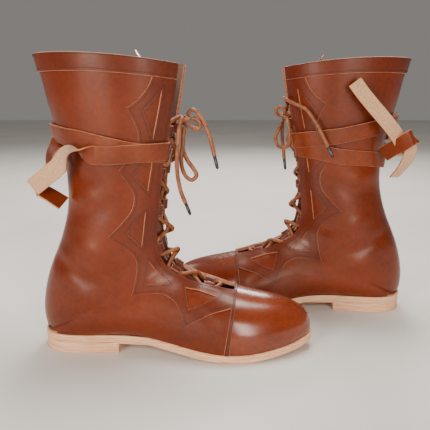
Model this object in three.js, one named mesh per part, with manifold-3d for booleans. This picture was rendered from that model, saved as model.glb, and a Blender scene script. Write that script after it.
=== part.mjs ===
// A pair of laced leather calf boots, standing side by side and facing opposite ways.
// Millimetres, +Z up. The pair rests on z = 0 and is centred over the origin.
import * as THREE from 'three';
import { mergeVertices } from 'three/addons/utils/BufferGeometryUtils.js';
import Module from 'manifold-3d';

const wasm = await Module();
wasm.setup();

// ---- Driving dimensions ----
const bootLength = 300; // outsole, heel to toe
const shaftHeight = 318; // top of the back seam above the floor
const upperLeather = 2.2; // quarters and toe cap
const overlayLeather = 1.7; // facing overlay and collar band
const midsoleThickness = 3.0;
const outsoleThickness = 4.5;
const heelHeight = 11.9; // underside of the outsole above the floor at the heel
const heelLength = 89; // heel back to heel breast
const soleMargin = 2.0; // outsole beyond the upper
const insoleThickness = 2.5;
const shankWidth = 16;
const shankThickness = 1.5;
const shankStart = 70; // back end of the shank, from the heel's back
const shankLength = 92;
const puffLeather = 1.2; // toe puff
const counterLeather = 1.6; // heel counter
const stripLeather = 1.1; // strip over the toe cap seam
const laceDiameter = 4.6;
const agletDiameter = 3.8;
const agletLength = 14;
const strapWidth = 18.5;
const strapLeather = 2.0;
const collarHeight = 19.5;
const counterHeight = 72; // top of the heel counter above the floor
const tongueHalfWidth = 23;
const tongueLeather = 1.8;
const loopLength = 11; // along the facing edge
const loopTuck = 0.6; // how far a loop's roll starts behind the facing edge
const loopLeather = 1.3;
const stayWidth = 9; // tape that the lace loops are sewn to
const stripWidth = 5; // strip over the toe cap seam
const stationPitch = 25; // about one station, at the toe cap seam and at the collar
const stationRise = 24.6; // height of one station on the upper shaft
const strapFront = 24.1; // station of the strap's middle between the facings
const strapHalf = strapWidth / 2 / stationRise;
const gap = 0.3; // between touching pieces
const rightHeel = new THREE.Vector2(-191.5, 641.6); // heel of each boot in the stance
const leftHeel = new THREE.Vector2(243.5, 755);
const stanceTurn = THREE.MathUtils.degToRad(-4.1);

const soleStack = midsoleThickness + outsoleThickness + 2 * gap;

// ---- Last: the fan of sections that the upper follows ----
// Boot frame: x from the back of the heel to the toe, y = -side is the outer side, z up.
// Each station: [bottom or back x, z, crown or front x, z, half-width at the feather, widest].
const patternLength = 300;
const patternHeight = 318;
const patternStack = 8.1;
const patternHeel = 11.9;
const ankle = 110;
const stations = [
  [298.0, 19.2, 298.0, 21.5, 0.0, 0.0],
  [296.4, 18.8, 297.0, 33.0, 8.5, 9.0],
  [288.5, 16.9, 290.0, 45.0, 18.0, 19.5],
  [275.0, 13.9, 277.0, 52.8, 28.5, 30.5],
  [256.0, 11.0, 257.0, 58.8, 38.5, 41.0],
  [232.0, 8.6, 234.0, 63.8, 46.0, 48.5],
  [206.0, 8.4, 214.5, 68.3, 48.0, 51.0],
  [176.0, 10.4, 205.0, 71.0, 43.0, 48.0],
  [147.0, 15.2, 196.8, 74.4, 36.0, 44.0],
  [118.0, 19.4, 190.0, 77.5, 29.5, 41.0],
  [90.0, 20.0, 183.2, 80.1, 27.0, 39.5],
  [64.0, 20.0, 176.0, 84.5, 29.5, 39.0],
  [40.0, 20.0, 168.5, 90.3, 31.0, 39.0],
  [20.0, 20.0, 162.0, 95.0, 27.5, 38.5],
  [7.5, 20.0, 156.0, 100.0, 17.5, 38.5],
  [1.5, 22.0, 151.5, 105.0, 0.0, 38.5],
  [-1.0, 40.0, 147.5, 110.0, 0.0, 39.0],
  [1.0, 60.0, 144.7, 116.5, 0.0, 39.0],
  [6.5, 82.0, 142.5, 124.5, 0.0, 40.0],
  [14.5, 103.0, 141.5, 134.5, 0.0, 40.5],
  [23.5, 124.0, 142.0, 146.5, 0.0, 41.0],
  [30.5, 147.0, 143.5, 160.5, 0.0, 41.5],
  [34.0, 172.0, 145.0, 177.5, 0.0, 42.0],
  [33.0, 196.0, 147.3, 197.0, 0.0, 43.0],
  [28.5, 221.0, 151.8, 218.0, 0.0, 45.0],
  [23.0, 246.0, 157.3, 241.0, 0.0, 47.5],
  [17.0, 270.0, 162.5, 263.5, 0.0, 50.0],
  [12.0, 294.0, 167.0, 285.5, 0.0, 52.0],
  [6.0, 318.0, 171.0, 305.5, 0.0, 53.5],
];
const capSeam = 6; // station of the toe cap seam
const heelStation = 15; // last station on the feather
const topStation = stations.length - 1;
const lastSwing = 5; // the toe leans this far to the inner side
const topArch = 5; // rise of the top edge over each side, above a straight line
const archStart = 24; // station where the arch begins

// Half the opening between the two facings: [station, half-gap].
const facingGap = [[capSeam, 10], [9, 15], [14, 20], [20, 22], [23, 24], [topStation, 29]];

function ramp(value, low, high) {
  const share = THREE.MathUtils.clamp((value - low) / (high - low), 0, 1);
  return share * share * (3 - 2 * share);
}

// A section point's pattern place, moved to the chosen length, height, sole and heel.
function toSize(x, z) {
  const tall = (shaftHeight - ankle) / (patternHeight - ankle);
  const height = z > ankle ? ankle + (z - ankle) * tall : z;
  const heelLift = (heelHeight - patternHeel) * (1 - ramp(x, 95, 205));
  const fade = 1 - ramp(z, 40, patternHeight);
  const lift = (soleStack - patternStack + heelLift) * fade;
  return [x * bootLength / patternLength, height + lift];
}

function spline(index, t) {
  const low = THREE.MathUtils.clamp(Math.floor(t), 0, topStation - 1);
  const at = (row) => stations[THREE.MathUtils.clamp(row, 0, topStation)][index];
  const [a, b, c, d] = [at(low - 1), at(low), at(low + 1), at(low + 2)];
  const f = t - low;
  const bend = 2 * a - 5 * b + 4 * c - d + (3 * b - a - 3 * c + d) * f;
  return b + 0.5 * f * (c - a + f * bend);
}

function section(t) {
  const [backX, backZ] = toSize(spline(0, t), spline(1, t));
  const [frontX, frontZ] = toSize(spline(2, t), spline(3, t));
  const width = Math.max(spline(5, t), 0.01);
  const feather = t < heelStation ? THREE.MathUtils.clamp(spline(4, t), 0, width) : 0;
  const start = Math.asin(feather / width);
  return { backX, backZ, frontX, frontZ, width, feather, start };
}

function swing(x) {
  return lastSwing * ramp(x, 0.4 * bootLength, 1.1 * bootLength);
}

// Point of the upper's outer face. side -1 is the outer side of the boot, +1 the inner.
// v runs from the feather or back seam (0) to the crown or shin line (1).
function facePoint(t, side, v) {
  const s = section(t);
  const angle = s.start + (Math.PI - s.start) * v;
  const rise = (Math.cos(s.start) - Math.cos(angle)) / (Math.cos(s.start) + 1);
  const x = s.backX + (s.frontX - s.backX) * rise;
  const arch = topArch * Math.sin(angle) ** 2 * ramp(t, archStart, topStation);
  const z = s.backZ + (s.frontZ - s.backZ) * rise + arch;
  return new THREE.Vector3(x, side * s.width * Math.sin(angle) + swing(x), z);
}

function faceNormal(t, side, v) {
  if (t < 0.02) return new THREE.Vector3(1, 0, 0);
  const step = 0.02;
  const t0 = Math.max(t - step, 0.01);
  const t1 = Math.min(t + step, topStation);
  const v0 = Math.max(v - step, 0);
  const v1 = Math.min(v + step, 1);
  const along = facePoint(t1, side, v).sub(facePoint(t0, side, v));
  const around = facePoint(t, side, v1).sub(facePoint(t, side, v0));
  if (v < 1e-6 || v > 1 - 1e-6) around.set(0, around.y, 0);
  return around.cross(along).multiplyScalar(-side).normalize();
}

function layerPoint(t, side, v, offset) {
  return facePoint(t, side, v).addScaledVector(faceNormal(t, side, v), offset);
}

function halfGap(t) {
  const next = facingGap.findIndex(([station]) => station >= t);
  if (next <= 0) return facingGap[next === 0 ? 0 : facingGap.length - 1][1];
  const [t0, g0] = facingGap[next - 1];
  const [t1, g1] = facingGap[next];
  return g0 + (g1 - g0) * (t - t0) / (t1 - t0);
}

// v where the upper stands the given distance from the boot's centre plane, on the shin side.
function vAtHalfWidth(t, distance) {
  const s = section(t);
  const angle = Math.PI - Math.asin(THREE.MathUtils.clamp(distance / s.width, 0, 1));
  return (angle - s.start) / (Math.PI - s.start);
}

function edgeV(t) {
  return vAtHalfWidth(t, halfGap(t));
}

// Station whose back point, or front point, is at the given height on the shaft.
function stationAt(height, zIndex) {
  let low = heelStation;
  let high = topStation;
  for (let pass = 0; pass < 40; pass += 1) {
    const middle = (low + high) / 2;
    const [, z] = toSize(spline(zIndex - 1, middle), spline(zIndex, middle));
    if (z < height) low = middle;
    else high = middle;
  }
  return (low + high) / 2;
}

// ---- Solids ----
function solidOf(geometry) {
  geometry.deleteAttribute('normal');
  geometry.deleteAttribute('uv');
  const merged = mergeVertices(geometry, 1e-4);
  const source = merged.index.array;
  const kept = [];
  for (let i = 0; i < source.length; i += 3) {
    const [a, b, c] = [source[i], source[i + 1], source[i + 2]];
    if (a !== b && b !== c && c !== a) kept.push(a, b, c);
  }
  merged.setIndex(kept);
  return merged;
}

function toManifold(geometry) {
  const clean = solidOf(geometry);
  const vertProperties = new Float32Array(clean.attributes.position.array);
  const triVerts = new Uint32Array(clean.index.array);
  return new wasm.Manifold(new wasm.Mesh({ numProp: 3, vertProperties, triVerts }));
}

function toGeometry(manifold) {
  const mesh = manifold.getMesh();
  const geometry = new THREE.BufferGeometry();
  const place = new THREE.BufferAttribute(new Float32Array(mesh.vertProperties), 3);
  geometry.setAttribute('position', place);
  geometry.setIndex(Array.from(mesh.triVerts));
  return geometry;
}

// A closed sheet between two grids of points; rows and columns count the grid's steps.
function sheetSolid(rows, columns, outer, inner) {
  const points = [];
  const index = [];
  for (const place of [outer, inner]) {
    for (let i = 0; i <= rows; i += 1) {
      for (let j = 0; j <= columns; j += 1) points.push(...place(i / rows, j / columns).toArray());
    }
  }
  const layer = (rows + 1) * (columns + 1);
  const at = (i, j, side) => side * layer + i * (columns + 1) + j;
  const quad = (a, b, c, d) => index.push(a, b, c, a, c, d);
  for (let i = 0; i < rows; i += 1) {
    for (let j = 0; j < columns; j += 1) {
      quad(at(i, j, 0), at(i + 1, j, 0), at(i + 1, j + 1, 0), at(i, j + 1, 0));
      quad(at(i, j, 1), at(i, j + 1, 1), at(i + 1, j + 1, 1), at(i + 1, j, 1));
    }
    quad(at(i, 0, 0), at(i, 0, 1), at(i + 1, 0, 1), at(i + 1, 0, 0));
    quad(at(i, columns, 0), at(i + 1, columns, 0), at(i + 1, columns, 1), at(i, columns, 1));
  }
  for (let j = 0; j < columns; j += 1) {
    quad(at(0, j, 0), at(0, j + 1, 0), at(0, j + 1, 1), at(0, j, 1));
    quad(at(rows, j, 0), at(rows, j, 1), at(rows, j + 1, 1), at(rows, j + 1, 0));
  }
  const geometry = new THREE.BufferGeometry();
  geometry.setAttribute('position', new THREE.Float32BufferAttribute(points, 3));
  geometry.setIndex(index);
  return outward(solidOf(geometry));
}

// Turns a closed mesh the right way out when its signed volume is negative.
function outward(geometry) {
  const place = geometry.attributes.position;
  const index = geometry.index.array;
  const [a, b, c] = [new THREE.Vector3(), new THREE.Vector3(), new THREE.Vector3()];
  let volume = 0;
  for (let i = 0; i < index.length; i += 3) {
    a.fromBufferAttribute(place, index[i]);
    b.fromBufferAttribute(place, index[i + 1]);
    c.fromBufferAttribute(place, index[i + 2]);
    volume += a.dot(b.cross(c));
  }
  if (volume > 0) return geometry;
  const turned = [];
  for (let i = 0; i < index.length; i += 3) turned.push(index[i], index[i + 2], index[i + 1]);
  geometry.setIndex(turned);
  return geometry;
}

// A layer on the upper: place(i, j) gives [station, side, v] for grid shares i and j.
function layerSheet(rows, columns, place, outside, thickness) {
  const grid = (offset) => (i, j) => {
    const [t, side, v] = place(i, j);
    return layerPoint(t, side, v, offset);
  };
  return sheetSolid(rows, columns, grid(outside), grid(outside - thickness));
}

// Grid places across the crown, and around the back of the boot.
const overCrown = (t, j, reach) => [t, j < 0.5 ? -1 : 1, 1 - Math.abs(2 * j - 1) * (1 - reach)];
const roundBack = (t, j, reach) => [t, j < 0.5 ? -1 : 1, Math.abs(2 * j - 1) * reach];

// ---- Upper ----
// Every layer of the upper uses the same rows and columns, so the layers stay parallel.
const seamGap = gap / 20; // in stations, at the toe cap seam
const capRows = [0, 0.35, 0.9, 1.6, 2.5, 3.5, 4.7, capSeam - seamGap];
const capColumns = 12;
const quarterRows = [
  capSeam + seamGap, 7.5, 9, 10.5, 12, 13, 14, heelStation, 16.5, 18, 19.5, 21, 22.7, 24.4, 26.2,
  topStation,
];
const quarterColumns = 5;
const rowAt = (rows, i) => rows[Math.round(i * (rows.length - 1))];

function toeCap() {
  const place = (i, j) => overCrown(rowAt(capRows, i), j, 0);
  return layerSheet(capRows.length - 1, capColumns, place, 0, upperLeather);
}

function toePuff() {
  const rows = capRows.slice(2, -1);
  const inset = upperLeather + gap;
  const place = (i, j) => overCrown(rowAt(rows, i), 1 / capColumns + j * (1 - 2 / capColumns), 0);
  return layerSheet(rows.length - 1, capColumns - 2, place, -inset, puffLeather);
}

function toeStrip() {
  const width = stripWidth / stationPitch;
  const stripLift = 1.3; // the strip's outer face above the cap
  const spread = (i) => capSeam - width * 0.75 + width * i;
  const place = (i, j) => overCrown(spread(i), j, 0.01);
  return layerSheet(1, capColumns, place, 2 * gap + stripLift, stripLeather);
}

// Place on one side of the upper behind the toe cap, at row station t and column share j.
function quarterPlace(t, side, j) {
  const low = t < heelStation ? 0 : seamV(t);
  return [t, side, low + (edgeV(t) - low) * j];
}

function quarterLayer(side, offset, thickness) {
  const place = (i, j) => quarterPlace(rowAt(quarterRows, i), side, j);
  return layerSheet(quarterRows.length - 1, quarterColumns, place, offset, thickness);
}

const quarter = (side) => quarterLayer(side, 0, upperLeather);

// v that keeps a piece half a gap off the centre plane at the back seam.
function seamV(t) {
  return Math.asin(gap / section(t).width) / Math.PI;
}

// v where the upper at station t stands at the given height.
function vAtHeight(t, height) {
  const s = section(t);
  const rise = THREE.MathUtils.clamp((height - s.backZ) / (s.frontZ - s.backZ), 0, 1);
  const angle = Math.acos(Math.cos(s.start) - rise * (Math.cos(s.start) + 1));
  return (angle - s.start) / (Math.PI - s.start);
}

// A stiffener that wraps the back of the heel just inside the quarters.
function heelCounter() {
  const footing = 7; // lower edge above the feather line
  const low = section(heelStation).backZ + footing;
  const reach = 4.6; // stations that the wings reach forward at the bottom
  const slope = 1.2; // stations less at the top
  const place = (i, j) => {
    const height = low + (counterHeight - low) * i;
    const share = Math.abs(2 * j - 1);
    const t = stationAt(height, 1) - (reach - slope * i) * share;
    return [t, j < 0.5 ? -1 : 1, share < 1e-6 ? 0 : vAtHeight(t, height)];
  };
  const clear = upperLeather + 2.2; // the quarter's flat facets cut inside its curve
  return layerSheet(3, 10, place, -clear, counterLeather);
}

function collarBand() {
  const rows = [topStation - collarHeight / stationPitch, topStation];
  const columns = 2 * quarterColumns;
  const place = (i, j) => {
    const [t, side] = [rowAt(rows, i), j < 0.5 ? -1 : 1];
    const share = Math.abs(2 * j - 1);
    return share < 1e-6 ? [t, side, 0] : quarterPlace(t, side, share);
  };
  return layerSheet(1, columns, place, 2 * gap + overlayLeather, overlayLeather);
}

// The side view of the facing overlay, spikes to the back, open to the front.
const overlayOutline = [
  [133.5, 290], [127, 280], [109, 263], [116, 250], [119, 241], [118, 231],
  [102, 210], [98, 203], [106, 191], [112, 178], [109, 163], [96, 147], [84, 134],
  [97, 125], [107, 116], [111, 106], [109, 88], [106, 69], [121, 70], [139, 70],
  [151, 62], [158, 53], [163, 38], [176, 45], [189, 51], [209, 55.5],
  [211, 80], [200, 90], [168, 118], [158, 150], [164, 240], [170, 287], [152, 288.5],
];
const overlayWindows = [
  [[142, 280], [125, 260], [129, 248], [132, 235], [139, 258]],
  [[130, 211], [123, 211], [113, 199], [125, 182]],
  [[122, 159], [104, 138], [117, 123]],
  [[124, 104], [121, 81], [143, 81]],
  [[162, 75], [195, 66], [167, 56]],
];

function sideShape(outline) {
  return new THREE.Shape(outline.map(([x, z]) => new THREE.Vector2(...toSize(x, z))));
}

function facingOverlay(side) {
  const shape = sideShape(overlayOutline);
  shape.holes = overlayWindows.map(sideShape);
  const depth = 160;
  const cutter = new THREE.ExtrudeGeometry(shape, { depth, bevelEnabled: false });
  cutter.rotateX(Math.PI / 2).translate(0, depth / 2, 0);
  const sheet = quarterLayer(side, gap + overlayLeather, overlayLeather);
  return toGeometry(toManifold(sheet).intersect(toManifold(cutter)));
}

// ---- Soles and heel ----
const soleStations = [...capRows.slice(0, -1), ...quarterRows.filter((t) => t <= heelStation)];

// Height of the feather line above the floor at x; the heel seat is level.
function soleTop(x) {
  const rows = soleStations.map((t) => section(t));
  const seat = soleStack + heelHeight;
  const next = rows.findIndex((row) => row.backX <= x);
  if (next < 0 || x < 0.3 * heelLength) return seat;
  if (next === 0) return rows[0].backZ;
  const [a, b] = [rows[next - 1], rows[next]];
  return a.backZ + (b.backZ - a.backZ) * (a.backX - x) / (a.backX - b.backX);
}

// Outline of a plate under the foot: [x, half-width] from toe to heel, margin outside the feather.
function soleRows(margin) {
  const last = soleStations.length - 1;
  return soleStations.map((t, row) => {
    const here = section(t);
    if (row === 0) return [here.backX + margin, 0];
    if (row === last) return [here.backX - margin, 0];
    const before = section(t - 0.05);
    const after = section(t + 0.05);
    const along = new THREE.Vector2(after.backX - before.backX, after.feather - before.feather);
    const out = new THREE.Vector2(along.y, -along.x).setLength(margin);
    return [here.backX + out.x, here.feather + out.y];
  });
}

// A plate under the foot: top and bottom follow the feather line at the given depths.
function solePlate(margin, top, thickness) {
  const rows = soleRows(margin);
  const place = (depth) => (i, j) => {
    const [x, half] = rowAt(rows, i);
    return new THREE.Vector3(x, (2 * j - 1) * half + swing(x), soleTop(x) - depth);
  };
  return sheetSolid(rows.length - 1, 1, place(top), place(top + thickness));
}

function heelLift(bottom, top, shrink) {
  const rows = soleRows(soleMargin - shrink).filter(([x]) => x < heelLength - 2);
  rows.unshift([heelLength, rows[0][1]]);
  const side = rows.map(([x, half]) => new THREE.Vector2(x, half));
  const back = rows.slice(0, -1).reverse().map(([x, half]) => new THREE.Vector2(x, -half));
  const shape = new THREE.Shape([...side, ...back]);
  const lift = new THREE.ExtrudeGeometry(shape, { depth: top - bottom, bevelEnabled: false });
  return solidOf(lift.translate(0, 0, bottom));
}

function shank() {
  const steps = 8;
  const place = (height) => (i, j) => {
    const x = shankStart + shankLength * i;
    return new THREE.Vector3(x, (j - 0.5) * shankWidth, soleTop(x) + height);
  };
  return sheetSolid(steps, 1, place(shankThickness), place(0));
}

// ---- Tongue ----
// Height of the tongue's middle above the chord between the facing edges: [station, height].
const tongueRise = [
  [capSeam, -8], [10, -8], [12, -1], [14, 6], [16, 8], [18.5, 6], [21, 0], [23, -9], [27, -10],
];
const eyeSlack = 1.2; // between the lace and the loop round it
const underLoops = upperLeather + gap + 2 * loopLeather + laceDiameter + eyeSlack;
const tongueTopStation = 25.6;

function table(rows, t) {
  const next = rows.findIndex(([station]) => station >= t);
  if (next === 0) return rows[0][1];
  if (next < 0) return rows[rows.length - 1][1];
  const [t0, a] = rows[next - 1];
  const [t1, b] = rows[next];
  return a + (b - a) * (t - t0) / (t1 - t0);
}

// Point on the chord between the two facing edges, raised along the shin's normal.
function chordPoint(t, y, height) {
  const edge = facePoint(t, -1, edgeV(t));
  const shin = faceNormal(t, -1, 1);
  return new THREE.Vector3(edge.x, y + swing(edge.x), edge.z).addScaledVector(shin, height);
}

function tonguePoint(t, y, lower) {
  const flat = 8; // width beside each facing edge where the tongue lies flat
  const inside = halfGap(t) - flat;
  const side = y < 0 ? -1 : 1;
  const v = vAtHalfWidth(t, Math.abs(y));
  const base = layerPoint(t, side, v, -underLoops - lower);
  const share = Math.cos(Math.min(Math.abs(y) / inside, 1) * Math.PI / 2) ** 2;
  const top = chordPoint(t, y, table(tongueRise, t) - lower);
  return base.lerp(top, share);
}

function tongue() {
  const first = capSeam + 0.6;
  const place = (lower) => (i, j) => {
    const t = first + (tongueTopStation - first) * i;
    return tonguePoint(t, (2 * j - 1) * tongueHalfWidth, lower);
  };
  return sheetSolid(14, 8, place(0), place(tongueLeather));
}

// The free flap above the bow leans back into the shaft and ends in a point.
const flapTip = new THREE.Vector3(110, 0, shaftHeight + 5);
const flapShoulder = 0.82; // share of its height where it starts to taper

function flapPoint(share, across, lower) {
  const split = 0.12; // stations between the tongue and its flap
  const foot = chordPoint(tongueTopStation + split, 0, table(tongueRise, tongueTopStation));
  const tip = new THREE.Vector3(flapTip.x * bootLength / patternLength, foot.y, flapTip.z);
  const point = foot.clone().lerp(tip, share);
  const bow = 5; // forward bend of its middle
  const cup = 13; // how far its side edges curl back
  const droop = 2; // how far its side edges drop
  point.x += bow * Math.sin(Math.PI * share);
  const taper = share > flapShoulder ? 1 - 0.93 * (share - flapShoulder) / (1 - flapShoulder) : 1;
  const y = across * tongueHalfWidth * (1 - 0.15 * share) * taper;
  point.y += y;
  point.x -= cup * (y / tongueHalfWidth) ** 2;
  point.z -= droop * (y / tongueHalfWidth) ** 2;
  return point.add(new THREE.Vector3(-lower * 0.9, 0, -lower * 0.4));
}

function tongueFlap() {
  const rows = [0, 0.2, 0.4, 0.6, flapShoulder, 0.92, 1];
  const place = (lower) => (i, j) => flapPoint(rowAt(rows, i), 2 * j - 1, lower);
  return sheetSolid(rows.length - 1, 8, place(0), place(tongueLeather));
}

// ---- Lace loops and lace ----
const loopStations = [25.0, 23.05, 20.95, 17.5, 13.2, 9.0]; // top to bottom
const lowestLoop = loopStations.length - 1;
const eyeRadius = laceDiameter / 2 + eyeSlack;
const loopRadius = eyeRadius + loopLeather;

// Axes at a lace loop: along the facing edge (upwards), towards the opening, and outwards.
function loopAxes(level, side) {
  const t = loopStations[level];
  const upper = facePoint(t + 0.15, side, edgeV(t + 0.15));
  const lower = facePoint(t - 0.15, side, edgeV(t - 0.15));
  const along = upper.sub(lower).normalize();
  const out = faceNormal(t, side, edgeV(t));
  const inward = new THREE.Vector3().crossVectors(along, out).normalize();
  if (inward.y * side > 0) inward.negate();
  out.crossVectors(inward, along).normalize();
  if (out.dot(faceNormal(t, side, edgeV(t))) < 0) out.negate();
  return { t, along, inward, out };
}

function eyeCentre(level, side) {
  const { t, inward, out } = loopAxes(level, side);
  const edge = facePoint(t, side, edgeV(t));
  const stayStep = 0.9; // room for the stay behind the loop
  const depth = upperLeather + gap + loopLeather + stayStep;
  return edge.addScaledVector(out, -depth).addScaledVector(inward, loopRadius - loopTuck);
}

function laceLoop(level, side) {
  const { along, inward, out } = loopAxes(level, side);
  const reach = Math.sqrt(loopRadius ** 2 - loopLeather ** 2);
  const root = loopTuck - loopRadius - 1;
  const shape = new THREE.Shape();
  shape.moveTo(root, -loopLeather);
  shape.lineTo(-reach, -loopLeather);
  const turn = Math.PI - Math.asin(loopLeather / loopRadius);
  shape.absarc(0, 0, loopRadius, -turn, turn, false);
  shape.lineTo(root, loopLeather);
  const eye = new THREE.Path();
  eye.absarc(0, 0, eyeRadius, 0, 2 * Math.PI, true);
  shape.holes = [eye];
  const options = { depth: loopLength, bevelEnabled: false, curveSegments: 4 };
  const loop = new THREE.ExtrudeGeometry(shape, options).translate(0, 0, -loopLength / 2);
  const hand = new THREE.Vector3().crossVectors(inward, out);
  const turned = new THREE.Matrix4().makeBasis(inward, out, hand);
  turned.setPosition(eyeCentre(level, side));
  return loop.applyMatrix4(turned);
}

function lacingLoops(side) {
  const first = loopStations[lowestLoop] - 0.6;
  const last = loopStations[0] + 0.35;
  const rows = [first, ...quarterRows.filter((t) => t > first && t < last), last];
  const dip = 2; // the stay's inner edge lies deeper, under the quarter's flat facets
  const overhang = 1.2; // stay beyond the facing edge
  const grid = (lower) => (i, j) => {
    const t = rowAt(rows, i);
    const v = vAtHalfWidth(t, halfGap(t) + stayWidth - (stayWidth + overhang) * j);
    return layerPoint(t, side, v, -(upperLeather + 2 * gap) - dip * (1 - j) - lower);
  };
  const stay = sheetSolid(rows.length - 1, 1, grid(0), grid(loopLeather * 1.5));
  let all = toManifold(stay);
  loopStations.forEach((_, level) => {
    all = all.add(toManifold(laceLoop(level, side)));
  });
  return toGeometry(all);
}

const knotCentre = { right: [161, -2, 251], left: [157, -3, 247] };
const knotRadii = [7, 6, 5.5];

function knotPlace(boot) {
  const [x, y, z] = knotCentre[boot];
  const [sizedX, sizedZ] = toSize(x, z);
  return new THREE.Vector3(sizedX, y, sizedZ);
}

// One cord, from the knot down one zig-zag, across the bottom and up the other.
function lacePath(boot) {
  const points = [];
  const knot = knotPlace(boot);
  const sag = 0.72; // how far the lace drops at a loop's ends
  const reach = 2.1; // straight run of lace past each end of a loop
  const strapClear = 4.2; // lace above the chord where it crosses the strap's edges
  const strapInset = 9; // those crossings' distance inside the facing edge
  const eye = (level, side, end) => {
    const { along, out } = loopAxes(level, side);
    const centre = eyeCentre(level, side).addScaledVector(out, -sag * Math.abs(end));
    return centre.addScaledVector(along, end * (loopLength / 2 + reach));
  };
  const cross = (level, side, over) => {
    const t = (loopStations[level] + loopStations[level + 1]) / 2;
    const rise = level === 0 ? 0 : table(tongueRise, t);
    const lift = laceDiameter / 2 + 2.2 + (over ? laceDiameter + 0.6 : 0);
    const middle = chordPoint(t, 0, rise + lift);
    if (level > 0) return [middle];
    // Between the two upper loops the lace first climbs over the strap.
    const upper = strapFront + strapHalf + 0.075;
    const lower = strapFront - strapHalf - 0.225;
    const above = chordPoint(upper, side * (halfGap(upper) - strapInset), strapClear);
    const below = chordPoint(lower, -side * (halfGap(lower) - strapInset), strapClear);
    return [above, middle, below];
  };
  const start = (side) => knot.clone().add(new THREE.Vector3(-6, side * 5.3, 3.8));
  points.push(start(-1));
  for (let level = 0; level <= lowestLoop; level += 1) {
    const side = level % 2 === 0 ? -1 : 1;
    points.push(eye(level, side, 1), eye(level, side, 0), eye(level, side, -1));
    if (level < lowestLoop) points.push(...cross(level, side, level % 2 === 0));
  }
  points.push(chordPoint(loopStations[lowestLoop] - 1.3, 0, 0.5));
  for (let level = lowestLoop; level >= 0; level -= 1) {
    const side = level % 2 === 0 ? 1 : -1;
    points.push(eye(level, side, -1), eye(level, side, 0), eye(level, side, 1));
    if (level > 0) points.push(...cross(level - 1, -side, level % 2 === 0).reverse());
  }
  points.push(start(1));
  return points;
}

// A round cord through points; share steps are even between the points, so bends stay in place.
function tube(points, diameter, stepsBetween, sides = 8) {
  const round = new THREE.Shape();
  for (let corner = 0; corner < sides; corner += 1) {
    const angle = 2 * Math.PI * corner / sides;
    const [x, y] = [Math.cos(angle) * diameter / 2, Math.sin(angle) * diameter / 2];
    if (corner === 0) round.moveTo(x, y);
    else round.lineTo(x, y);
  }
  const path = new THREE.CatmullRomCurve3(points, false, 'centripetal');
  path.getPointAt = (share, target) => path.getPoint(share, target);
  path.getTangentAt = (share, target) => path.getTangent(share, target);
  const steps = (points.length - 1) * stepsBetween;
  const options = { steps, bevelEnabled: false, extrudePath: path };
  return outward(solidOf(new THREE.ExtrudeGeometry(round, options)));
}

function bowKnot(boot) {
  const knot = new THREE.SphereGeometry(1, 10, 6);
  knot.scale(...knotRadii);
  return solidOf(knot.translate(...knotPlace(boot).toArray()));
}

// ---- Bow cords: routes in the boot frame, from the knot outwards ----
const cordRoutes = {
  right: {
    bow_loop_short: [
      [168.6, -3, 253], [172, -4, 252.5], [176.5, -6.5, 248], [176, -9.5, 243], [172, -10.5, 243],
      [167.5, -9.5, 246.2],
    ],
    bow_loop_long: [
      [162.5, -3, 244.6], [159.5, -4, 236], [158.5, -4, 222], [163, -4, 210], [169.5, -5, 201],
      [173, -7, 194], [168.5, -9, 189.5], [162.5, -10, 193], [158.5, -11, 202], [157.5, -11, 214],
      [159.5, -10.5, 228], [160, -10, 238], [160.5, -8.5, 243.6],
    ],
    lace_end_front: [
      [164, -1.5, 257.4], [166.5, -1.5, 261], [171, -2, 261.5], [177, -3, 255], [183.5, -5, 243],
      [188.5, -7, 229], [192, -8, 215],
    ],
    lace_end_side: [
      [158.5, -10.5, 254], [157, -16.5, 246], [155.5, -20, 231], [154, -19, 212], [154.5, -17, 194],
      [157.5, -16, 178], [162, -15, 166],
    ],
  },
  left: {
    bow_loop_long: [
      [156, -10.5, 247], [154, -21, 245], [152, -31, 237], [151, -33.5, 226], [151, -31, 216],
      [156.5, -24, 210], [164.5, -17, 213], [167, -13, 222], [163, -9, 232], [159.5, -6.5, 240.6],
    ],
    bow_loop_short: [
      [163.8, -6, 250], [167, -8, 253], [166.5, -9.5, 257.5], [161.5, -10.5, 259.5],
      [156.5, -11, 256], [156, -8.8, 251.8],
    ],
    lace_end_front: [
      [158.5, -1, 240.8], [158.5, -1, 228], [157.5, -2, 214], [156, -2, 202], [155, -2, 194],
    ],
    lace_end_side: [
      [154, 1, 254], [153, -3, 263], [158, -22, 270.5], [153, -37.5, 268], [142, -44, 263],
      [133, -48, 258.5], [126, -52.5, 250], [118, -57, 237], [111, -60, 224], [107, -61.5, 216],
    ],
  },
};

function sizedRoute(route) {
  return route.map(([x, y, z]) => {
    const [sizedX, sizedZ] = toSize(x, z);
    return new THREE.Vector3(sizedX, y, sizedZ);
  });
}

function routeLength(route) {
  return new THREE.CatmullRomCurve3(route, false, 'centripetal').getLength();
}

function freeCord(route) {
  const stepsBetween = Math.round(routeLength(route) / (2.2 * laceDiameter * (route.length - 1)));
  return tube(route, laceDiameter, Math.max(stepsBetween, 1));
}

function aglet(route) {
  const end = route[route.length - 1];
  const path = new THREE.CatmullRomCurve3(route, false, 'centripetal');
  const along = path.getTangent(1);
  const pin = new THREE.CylinderGeometry(agletDiameter / 2, agletDiameter / 2, agletLength, 10);
  const turn = new THREE.Quaternion().setFromUnitVectors(new THREE.Vector3(0, 1, 0), along);
  pin.applyQuaternion(turn);
  const middle = end.clone().addScaledVector(along, gap + agletLength / 2);
  return solidOf(pin.translate(...middle.toArray()));
}

// ---- Strap: two turns about the shaft, a knot behind it and a free end ----
// Middle of the strap at turn share 0..2: stations around the shaft, outer side first.
const strapStation = [
  [0, 24.75], [0.45, 24.1], [0.55, 24.08], [1, 24.2], [1.2, 23.75], [1.45, 24.08], [1.55, 24.08],
  [2, 24],
];
const strapStart = 0.035; // the strap's two ends, at the knot
const strapEnd = 1.965;

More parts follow.
